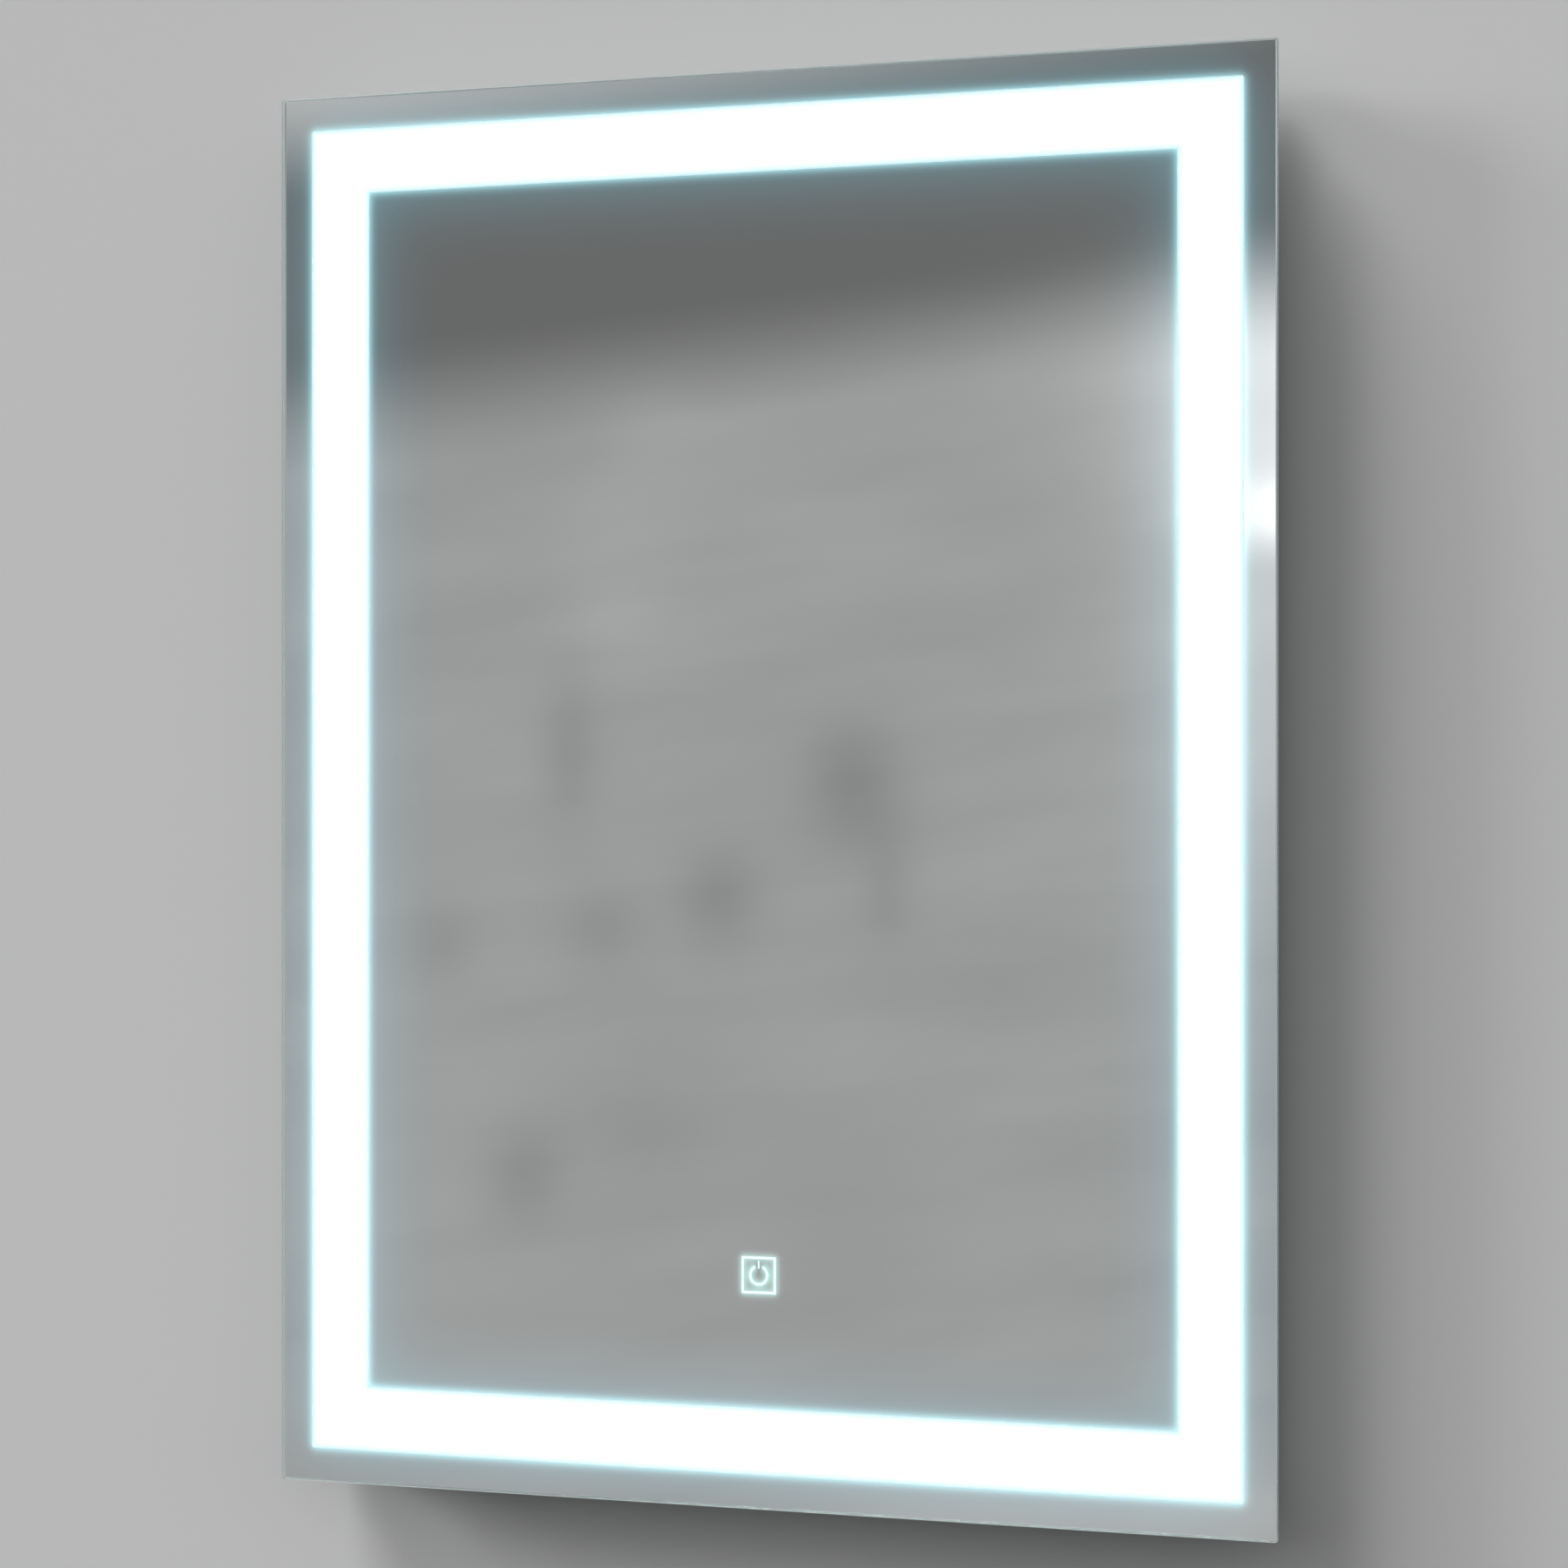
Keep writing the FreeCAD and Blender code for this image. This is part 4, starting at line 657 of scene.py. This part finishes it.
def turnPiece(name, x, z, profile, sides=40, ring=False):
    # a circle drawn out step by step, square to the wall; profile holds (radius, stand) pairs
    bpy.ops.object.select_all(action="DESELECT")
    radius, stand = profile[0]
    bpy.ops.mesh.primitive_circle_add(
        vertices=sides, radius=radius, fill_type="NOTHING" if ring else "NGON",
        location=(x, -stand, z), rotation=(math.radians(90), 0, 0))
    piece = bpy.context.object
    piece.name = name
    bpy.ops.object.transform_apply(location=True, rotation=True, scale=True)
    bpy.ops.object.mode_set(mode="EDIT")
    bpy.ops.mesh.select_mode(type="VERT")
    bpy.ops.mesh.select_all(action="SELECT")
    for nextRadius, nextStand in profile[1:]:
        bpy.ops.mesh.extrude_region_move(TRANSFORM_OT_translate={"value": (0, stand - nextStand, 0)})
        share = nextRadius / radius
        bpy.ops.transform.resize(value=(share, 1, share), center_override=(x, -nextStand, z))
        radius, stand = nextRadius, nextStand
    bpy.ops.mesh.select_all(action="SELECT")
    bpy.ops.mesh.remove_doubles(threshold=0.001 * mm)
    bpy.ops.mesh.normals_make_consistent(inside=False)
    bpy.ops.object.mode_set(mode="OBJECT")
    return piece


def applyAll(piece):
    pickOnly(piece)
    for modifier in list(piece.modifiers):
        bpy.ops.object.modifier_apply(modifier=modifier.name)


def smoothShading(piece, angle=35):
    pickOnly(piece)
    bpy.ops.object.shade_smooth_by_angle(angle=math.radians(angle))


def pickFaces(piece, test):
    # leaves the piece in edit mode with only the faces that pass the test selected
    bpy.ops.object.mode_set(mode="EDIT")
    bpy.ops.mesh.select_mode(type="FACE")
    bpy.ops.mesh.select_all(action="DESELECT")
    bpy.ops.object.mode_set(mode="OBJECT")
    for face in piece.data.polygons:
        face.select = test(face)
    bpy.ops.object.mode_set(mode="EDIT")


def cutAway(piece, cutter):
    cut = piece.modifiers.new("cut", "BOOLEAN")
    cut.object = cutter
    cut.operation = "DIFFERENCE"
    cut.solver = "EXACT"
    cut.use_self = True
    applyAll(piece)
    bpy.data.objects.remove(cutter)


def handOver(piece, body, node, finish):
    piece.data.materials.clear()
    piece.data.materials.append(finishes[finish])
    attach(piece, body)
    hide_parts(node)


def copyTo(piece, name, shift):
    pickOnly(piece)
    bpy.ops.object.duplicate(linked=False)
    twin = bpy.context.object
    twin.name = name
    bpy.ops.transform.translate(value=shift)
    bpy.ops.object.transform_apply(location=True, rotation=True, scale=True)
    return twin


panScrew = {
    # share of the head's radius, and how far below the crown as a share of the head's height
    "head": [(0.275, 0.0), (0.55, 0.05), (0.82, 0.22), (0.95, 0.45), (1.0, 0.72), (1.0, 1.0)],
    "recessWidth": 0.46, "recessBlade": 0.11, "recessDepth": 0.62, "recessTip": 0.45,
    "threadPitch": 0.95 * mm, "threadDepth": 0.35 * mm, "sides": 36,
    # one turn of thread: whether it is at the crest, and how far along the turn
    "thread": [(False, 0.55), (True, 0.85), (True, 0.98), (False, 1.25)],
    "tipTaper": 0.3, "tipShare": 0.7,
}


def crossCutter(x, z, top, way, radius, height):
    # two tapered blades across each other, which leave the driver's recess
    look = panScrew
    long, thin = 2 * radius * look["recessWidth"], 2 * radius * look["recessBlade"]
    deep = height * look["recessDepth"]
    blades = []
    for size in ((long, thin), (thin, long)):
        bpy.ops.object.select_all(action="DESELECT")
        bpy.ops.mesh.primitive_cube_add(size=1, location=(x, top, z), scale=(size[0], 2 * deep, size[1]))
        blade = bpy.context.object
        bpy.ops.object.transform_apply(location=True, rotation=True, scale=True)
        pickFaces(blade, lambda face: face.normal.y * way < -0.5)
        share = look["recessTip"]
        shares = (share, 1, 1) if size[0] > size[1] else (1, 1, share)
        bpy.ops.transform.resize(value=shares, center_override=(x, top, z))
        bpy.ops.object.mode_set(mode="OBJECT")
        blades.append(blade)
    bpy.ops.object.select_all(action="DESELECT")
    for blade in blades:
        blade.select_set(True)
    bpy.context.view_layer.objects.active = blades[0]
    bpy.ops.object.join()
    return bpy.context.object


def makePanScrew(name, x, z, headLow, headHigh, tip, radius, shank):
    # the three stands are the head's seat, its crown and the screw's far end
    look = panScrew
    rise = headHigh - headLow
    turns = max(int(abs(tip - headLow) / look["threadPitch"]) - 1, 1)
    step = (tip - headLow) / (turns + 1)
    root = shank - look["threadDepth"]
    profile = [(radius * share, headHigh - rise * drop) for share, drop in look["head"]]
    profile.append((root, headLow))
    for turn in range(turns):
        profile += [(shank if crest else root, headLow + step * (turn + along))
                    for crest, along in look["thread"]]
    profile += [(root, tip - step * look["tipTaper"]), (root * look["tipShare"], tip)]
    piece = turnPiece(name, x, z, profile, sides=look["sides"])
    way = 1 if headHigh < headLow else -1
    cutAway(piece, crossCutter(x, z, -headHigh, way, radius, abs(rise)))
    smoothShading(piece)
    return piece


def copyAlong(piece, stem, places, start):
    # the modelled piece stands at the first place, and its copies at the others
    piece.name = stem + "_0"
    group = [piece]
    for number, (x, z) in enumerate(places[1:], 1):
        shift = (x - places[0][0], 0, z - places[0][1])
        group.append(copyTo(piece, stem + "_" + str(number), shift))
    print(start, len(group))
    return group


coverScrew = {"cornerGap": 138 * mm, "headRadius": 3.6 * mm, "shank": 1.75 * mm, "headHeight": 2.1 * mm,
              "length": 5 * mm}


def makeCoverScrews():
    look = coverScrew
    low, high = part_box("cover_screws")
    low, high = low + Vector((1, 0, 1)) * look["headRadius"], high - Vector((1, 0, 1)) * look["headRadius"]
    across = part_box("trough_top")[1].x - look["cornerGap"]
    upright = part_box("trough_top")[1].z - look["cornerGap"] - mirrorMiddle.z
    places = [(x, z) for z in (low.z, high.z) for x in (-across, across)]
    places += [(x, mirrorMiddle.z + rise) for x in (low.x, high.x) for rise in (-upright, 0, upright)]
    crown = -high.y
    seat = crown + look["headHeight"]
    piece = makePanScrew("coverScrew", *places[0], seat, crown, seat + look["length"],
                         look["headRadius"], look["shank"])
    for screw in copyAlong(piece, "coverScrew", places, "cover screws"):
        handOver(screw, "mirror", "cover_screws", "brightZinc")


driverScrew = {"headRadius": 3.6 * mm, "shank": 1.75 * mm, "headHeight": 2.1 * mm}
lidScrew = {"headRadius": 2.9 * mm, "shank": 1.5 * mm, "headHeight": 1.7 * mm}


def makeFrontScrews(stem, node, look, falling):
    # two screws whose heads face the room, level or falling from upper left to lower right
    low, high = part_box(node)
    radius = look["headRadius"]
    second = low.z + radius if falling else high.z - radius
    places = [(low.x + radius, high.z - radius), (high.x - radius, second)]
    crown, tip = -low.y, -high.y
    piece = makePanScrew(stem, *places[0], crown - look["headHeight"], crown, tip, radius, look["shank"])
    for screw in copyAlong(piece, stem, places, node):
        handOver(screw, "mirror", node, "brightZinc")


rivet = {
    "radius": 3.8 * mm, "count": 4, "hangerSheet": 2.0 * mm, "coverSheet": 1.0 * mm,
    # radius and height over the seat, in millimetres: the broken stem, its hole, the dome and the shank
    "head": [(0.72, 0.75), (0.78, 0.35), (1.05, 0.35), (1.12, 1.15), (1.4, 1.4), (2.2, 1.28), (3.0, 0.95),
             (3.5, 0.55), (3.75, 0.18), (3.8, 0.0), (2.0, 0.0)],
    "tail": [(2.0, 0.0), (2.75, 0.05), (2.9, 0.5), (2.85, 1.3), (2.5, 1.95), (1.9, 2.3), (1.0, 2.4)],
}


def makeRivets():
    look = rivet
    low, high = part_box("hanger_rivets")
    first, last = low.x + look["radius"], high.x - look["radius"]
    step = (last - first) / (look["count"] - 1)
    places = [(first + n * step, (low.z + high.z) / 2) for n in range(look["count"])]
    seat = -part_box("hanger")[0].y - look["hangerSheet"]
    tail = seat + look["hangerSheet"] + look["coverSheet"]
    profile = [(radius * mm, seat - height * mm) for radius, height in look["head"]]
    profile += [(radius * mm, tail + height * mm) for radius, height in look["tail"]]
    piece = turnPiece("hangerRivet", *places[0], profile)
    smoothShading(piece)
    for part in copyAlong(piece, "hangerRivet", places, "rivets"):
        handOver(part, "mirror", "hanger_rivets", "rivetMetal")


# radius and stand from the wall, in millimetres: the moulded dimple, the contact ring, the tapered side
bumperProfile = [(1.6, 2.2), (2.6, 1.9), (3.2, 1.0), (3.7, 0.35), (4.6, 0.0), (5.8, 0.0), (6.2, 0.3),
                 (6.7, 0.3), (7.1, 0.0), (8.4, 0.0), (9.1, 0.25), (9.5, 0.95), (10.2, 4.2), (10.35, 4.5),
                 (10.35, 5.1), (10.7, 5.4), (10.95, 7.6), (11.0, 8.0), (11.0, 8.5), (10.9, 8.6)]


def makeBumpers():
    low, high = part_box("wall_bumpers")
    widest = max(radius for radius, stand in bumperProfile) * mm
    z = (low.z + high.z) / 2
    places = [(low.x + widest, z), (high.x - widest, z)]
    profile = [(radius * mm, stand * mm) for radius, stand in bumperProfile]
    piece = turnPiece("wallBumper", *places[0], profile, sides=56)
    smoothShading(piece)
    for part in copyAlong(piece, "wallBumper", places, "bumpers"):
        handOver(part, "mirror", "wall_bumpers", "blackRubber")


# radius and stand from the wall, in millimetres: outer flange, neck, barb, and the bore with two lips
grommetProfile = [(4.0, 6.7), (4.25, 6.3), (4.8, 6.1), (6.8, 6.1), (7.1, 6.35), (7.9, 6.35), (8.2, 6.1),
                  (9.5, 6.12), (10.2, 6.45), (10.5, 7.1), (10.5, 8.6), (8.0, 8.6), (8.0, 9.6), (10.5, 9.6),
                  (10.4, 9.95), (8.4, 12.2), (7.8, 12.6), (4.6, 12.6), (4.0, 12.2), (4.0, 10.9), (3.5, 10.6),
                  (3.5, 10.2), (4.0, 9.9), (4.0, 8.8), (3.5, 8.5), (3.5, 8.1), (4.0, 7.8), (4.0, 6.7)]


def makeGrommet():
    middle = middleOf("cable_grommet")
    profile = [(radius * mm, stand * mm) for radius, stand in grommetProfile]
    piece = turnPiece("cableGrommet", middle.x, middle.z, profile, sides=56, ring=True)
    smoothShading(piece)
    handOver(piece, "mirror", "cable_grommet", "blackRubber")


package = {"length": 3.5 * mm, "width": 2.8 * mm, "pitch": 25 * mm, "rim": 0.42 * mm, "well": 0.16 * mm,
           "wellTaper": 0.94}


def makeLampRow(side):
    # one white package with a well of phosphor, repeated along its board
    node = "leds_" + side
    look = package
    low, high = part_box(node)
    across = side in ("top", "bottom")
    size = (look["length"], look["width"]) if across else (look["width"], look["length"])
    reach = high.x - low.x if across else high.z - low.z
    count = round((reach - look["length"]) / look["pitch"]) + 1
    bpy.ops.object.select_all(action="DESELECT")
    bpy.ops.mesh.primitive_cube_add(
        size=1, location=(low.x + size[0] / 2, (low.y + high.y) / 2, low.z + size[1] / 2),
        scale=(size[0], high.y - low.y, size[1]))
    row = bpy.context.object
    row.name = "lampRow_" + side
    bpy.ops.object.transform_apply(location=True, rotation=True, scale=True)
    pickFaces(row, lambda face: face.normal.y < -0.5)
    bpy.ops.mesh.inset(thickness=look["rim"])
    bpy.ops.mesh.extrude_region_move(TRANSFORM_OT_translate={"value": (0, look["well"], 0)})
    centre = (low.x + size[0] / 2, low.y, low.z + size[1] / 2)
    bpy.ops.transform.resize(value=(look["wellTaper"], 1, look["wellTaper"]), center_override=centre)
    bpy.ops.object.mode_set(mode="OBJECT")
    for face in row.data.polygons:
        face.material_index = 1 if face.select else 0
    repeat = row.modifiers.new("repeat", "ARRAY")
    repeat.count = count
    repeat.use_relative_offset = False
    repeat.use_constant_offset = True
    repeat.constant_offset_displace = (look["pitch"], 0, 0) if across else (0, 0, look["pitch"])
    applyAll(row)
    indices = [face.material_index for face in row.data.polygons]
    handOver(row, "mirror", node, "lampBody")
    row.data.materials.append(finishes["lampPhosphor"])
    for face, index in zip(row.data.polygons, indices):
        face.material_index = index


makeCoverScrews()
makeFrontScrews("driverScrew", "driver_screws", driverScrew, falling=False)
makeFrontScrews("lidScrew", "terminal_lid_screws", lidScrew, falling=True)
makeRivets()
makeBumpers()
makeGrommet()
for side in ("top", "bottom", "left", "right"):
    makeLampRow(side)
print("small parts modelled")


stage = {
    "wallTone": colour(0.60, 0.605, 0.602),
    "floorTone": colour(0.34, 0.34, 0.335),
    "wallSize": (12, 8),
    "floorSize": 9,
    "floorDrop": 1.1,
    "wallGap": 0.5 * mm,                        # keeps the wall's face clear of the rail's
    "cloudScale": 1.2, "cloudShade": 0.97,
    "ambientHigh": 0.677, "ambientLow": 0.068,  # light from above and from below the horizon
    "horizon": (-0.05, 0.05),
}


def stageSurface(name, tone):
    # solid from the lit side, and clear to every path that comes through it from behind
    material = bpy.data.materials.new(name)
    material.use_nodes = True
    tree = material.node_tree
    tree.nodes.clear()
    out = addNode(tree, "ShaderNodeOutputMaterial")
    place = objectPlace(tree)
    clouds = noise(tree, place, stage["cloudScale"], 2.0)[0]
    second = colour(*[part * stage["cloudShade"] for part in tone[:3]])
    paint = addNode(tree, "ShaderNodeBsdfDiffuse", {"Color": blendColours(tree, clouds, tone, second)})
    clear = addNode(tree, "ShaderNodeBsdfTransparent")
    passed = addNode(tree, "ShaderNodeLightPath").outputs["Transparent Depth"]
    behind = addNode(tree, "ShaderNodeNewGeometry").outputs["Backfacing"]
    hidden = calc(tree, "MAXIMUM", behind, calc(tree, "GREATER_THAN", passed, 0.5))
    mixed = addNode(tree, "ShaderNodeMixShader", {0: hidden})
    tree.links.new(paint.outputs[0], mixed.inputs[1])
    tree.links.new(clear.outputs[0], mixed.inputs[2])
    tree.links.new(mixed.outputs[0], out.inputs["Surface"])
    return material


def makeStage():
    bpy.ops.mesh.primitive_plane_add(size=1, location=(0, 0, 0))
    wall = bpy.context.object
    wall.name = "wall"
    wide, high = stage["wallSize"]
    floorLevel = paneLow.z - stage["floorDrop"]
    wall.scale = (wide, high, 1)
    wall.rotation_euler = (math.radians(90), 0, 0)
    wall.location = (0, stage["wallGap"], floorLevel + high / 2)
    wall.data.materials.append(stageSurface("wallPaint", stage["wallTone"]))
    bpy.ops.mesh.primitive_plane_add(size=stage["floorSize"], location=(0, 0, floorLevel))
    floor = bpy.context.object
    floor.name = "floor"
    floor.visible_diffuse = False
    floor.data.materials.append(stageSurface("floorPaint", stage["floorTone"]))


# soft light from far to the left: a wide lamp high up and a low one that grazes the wall
farLamps = [
    {"name": "highLeft", "turn": 60, "climb": 64, "spread": 30, "strength": 3.98},
    {"name": "lowLeft", "turn": 75, "climb": 20, "spread": 20, "strength": 2.05},
]
# wide lamps behind the wall, which lets their light through to the mirror's back
backLamps = [
    {"name": "backLeft", "place": (2.4, 2.6, 1.6), "size": 4.6, "strength": 0.34},
    {"name": "backRight", "place": (-2.6, 2.2, 0.4), "size": 3.6, "strength": 0.2},
]


def addLamp(name, kind, way, energy):
    # a lamp that shines against the way that leads to it
    light = bpy.data.lights.new(name, kind)
    light.energy = energy
    lamp = bpy.data.objects.new(name, light)
    lamp.rotation_euler = (-way).to_track_quat("-Z", "Y").to_euler()
    scene.collection.objects.link(lamp)
    return lamp


def makeLamps():
    for look in farLamps:
        turn, climb = math.radians(look["turn"]), math.radians(look["climb"])
        way = Vector((-math.sin(turn) * math.cos(climb), -math.cos(turn) * math.cos(climb), math.sin(climb)))
        lamp = addLamp(look["name"], "SUN", way, look["strength"])
        lamp.data.angle = math.radians(look["spread"])
        lamp.visible_glossy = False
    for look in backLamps:
        way = Vector(look["place"]) - mirrorMiddle
        lamp = addLamp(look["name"], "AREA", way, look["strength"] * (math.pi * way.length) ** 2)
        lamp.data.shape = "DISK"
        lamp.data.size = look["size"]
        lamp.location = look["place"]


# what the mirror shows: an edge is the way square to it, and lines and spots are parts of a way of length 1
room = {
    "middle": 0.355, "dark": 0.147, "ceiling": 0.52,
    "darkEdge": (-0.086, 0.1350, 1.0),
    "ceilingEdge": (-0.0825, 0.2009, 1.0),
    "edgeSoftness": 0.015,
    "streakAlong": 14.0, "streakAcross": 55.0, "streakDepth": 0.055,
    "windowAcross": -0.275, "windowWidth": 0.034, "windowLight": 0.54,
    "windowTop": (0.087, 0.122), "windowSill": (0.050, 0.075), "glowBelow": (-0.06, 0.04), "glowShare": 0.5,
    "sillSpot": (-0.283, 0.0575, 0.016, 0.0075), "sillLight": 0.59,
    "floorLine": (-0.135, -0.155), "floorSide": (-0.40, -0.33), "floorLight": 0.08,
    "behindEdge": (-0.02, 0.1), "behindRise": (-0.45, 0.55), "behindLight": (0.36, 0.72),
    "backdrop": 0.82,
}
# soft spots in the room, dim or light: across, height, half width, half height and share of light
roomSpots = [
    (-0.428, 0.0074, 0.0058, 0.016, -0.16),
    (-0.3727, 0.0, 0.010, 0.012, -0.26),
    (-0.3659, -0.0222, 0.0055, 0.013, -0.12),
    (-0.383, -0.0074, 0.020, 0.020, -0.06),
    (-0.399, -0.0241, 0.0085, 0.0105, -0.21),
    (-0.4212, -0.0315, 0.0085, 0.0095, -0.14),
    (-0.452, -0.0341, 0.0065, 0.0095, -0.11),
    (-0.4349, -0.0833, 0.0080, 0.0110, -0.19),
    (-0.4137, -0.0778, 0.014, 0.014, -0.07),
    (-0.3727, -0.0926, 0.017, 0.022, -0.07),
    (-0.3489, -0.0407, 0.030, 0.011, -0.05),
    (-0.4171, 0.0519, 0.012, 0.015, 0.10),
    (-0.4205, 0.0352, 0.011, 0.008, 0.07),
    (-0.4103, 0.0796, 0.009, 0.008, 0.07),
    (-0.4376, 0.0741, 0.022, 0.012, -0.09),
]


def makeWorld():
    world = bpy.data.worlds.new("studio")
    scene.world = world
    world.use_nodes = True
    tree = world.node_tree
    tree.nodes.clear()
    out = addNode(tree, "ShaderNodeOutputWorld")
    way = addNode(tree, "ShaderNodeTexCoord").outputs["Generated"]
    parts = placeParts(tree, way)

    def fade(value, edges, start, end):
        return spread(tree, value, *edges, start, end, smooth=True)

    def bell(squared):
        return calc(tree, "EXPONENT", calc(tree, "MULTIPLY", squared, -1.0))

    def spot(x, z, halfWidth, halfHeight):
        offset = calcPlace(tree, "SUBTRACT", way, (x, 0, z))
        scaled = calcPlace(tree, "MULTIPLY", offset, (1 / halfWidth, 0, 1 / halfHeight))
        return bell(calcPlace(tree, "DOT_PRODUCT", scaled, scaled))

    # the room's middle, streaked along its dark upper part, with the spots in it
    overDark = calcPlace(tree, "DOT_PRODUCT", way, room["darkEdge"])
    overCeiling = calcPlace(tree, "DOT_PRODUCT", way, room["ceilingEdge"])
    slanted = flatPlace(tree, calc(tree, "MULTIPLY", parts["X"], room["streakAlong"]),
                        calc(tree, "MULTIPLY", overDark, room["streakAcross"]))
    streaks = noise(tree, slanted, 1.0, 2.0)[0]
    swing = room["middle"] * room["streakDepth"]
    level = spread(tree, streaks, *noiseSpan, room["middle"] - swing, room["middle"] + swing)
    for *where, share in roomSpots:
        level = calc(tree, "MULTIPLY", level, spread(tree, spot(*where), 0.0, 1.0, 1.0, 1.0 + share))
    soft = (-room["edgeSoftness"], room["edgeSoftness"])
    level = spread(tree, fade(overDark, soft, 0.0, 1.0), 0.0, 1.0, level, room["dark"])
    level = spread(tree, fade(overCeiling, soft, 0.0, 1.0), 0.0, 1.0, level, room["ceiling"])

    # a tall soft window at the left, its bright sill, and the light on the floor
    off = calc(tree, "DIVIDE", calc(tree, "SUBTRACT", parts["X"], room["windowAcross"]), room["windowWidth"])
    below = fade(parts["Z"], room["glowBelow"], 0.0, room["glowShare"])
    upright = fade(parts["Z"], room["windowTop"], fade(parts["Z"], room["windowSill"], below, 1.0), 0.0)
    window = calc(tree, "MULTIPLY", calc(tree, "MULTIPLY", bell(calc(tree, "MULTIPLY", off, off)), upright),
                  room["windowLight"])
    sill = calc(tree, "MULTIPLY", spot(*room["sillSpot"]), room["sillLight"])
    low = calc(tree, "MULTIPLY", fade(parts["Z"], room["floorLine"], 0.0, room["floorLight"]),
               fade(parts["X"], room["floorSide"], 0.0, 1.0))
    for light in (window, sill, low):
        level = calc(tree, "ADD", level, light)

    # behind the wall a plain light that grows with height, for the mirror's back
    rear = fade(parts["Z"], room["behindRise"], *room["behindLight"])
    level = spread(tree, fade(parts["Y"], room["behindEdge"], 0.0, 1.0), 0.0, 1.0, level, rear)
    ray = addNode(tree, "ShaderNodeLightPath").outputs
    seen = calc(tree, "MAXIMUM", ray["Is Glossy Ray"], ray["Is Transmission Ray"])
    ambient = fade(parts["Z"], stage["horizon"], stage["ambientLow"], stage["ambientHigh"])
    strength = spread(tree, seen, 0.0, 1.0, ambient, level)
    strength = spread(tree, ray["Is Camera Ray"], 0.0, 1.0, strength, room["backdrop"])
    light = addNode(tree, "ShaderNodeBackground", {"Color": colour(1, 1, 1), "Strength": strength})
    tree.links.new(light.outputs[0], out.inputs["Surface"])


makeStage()
makeLamps()
makeWorld()
print("stage, lamps and surroundings made")
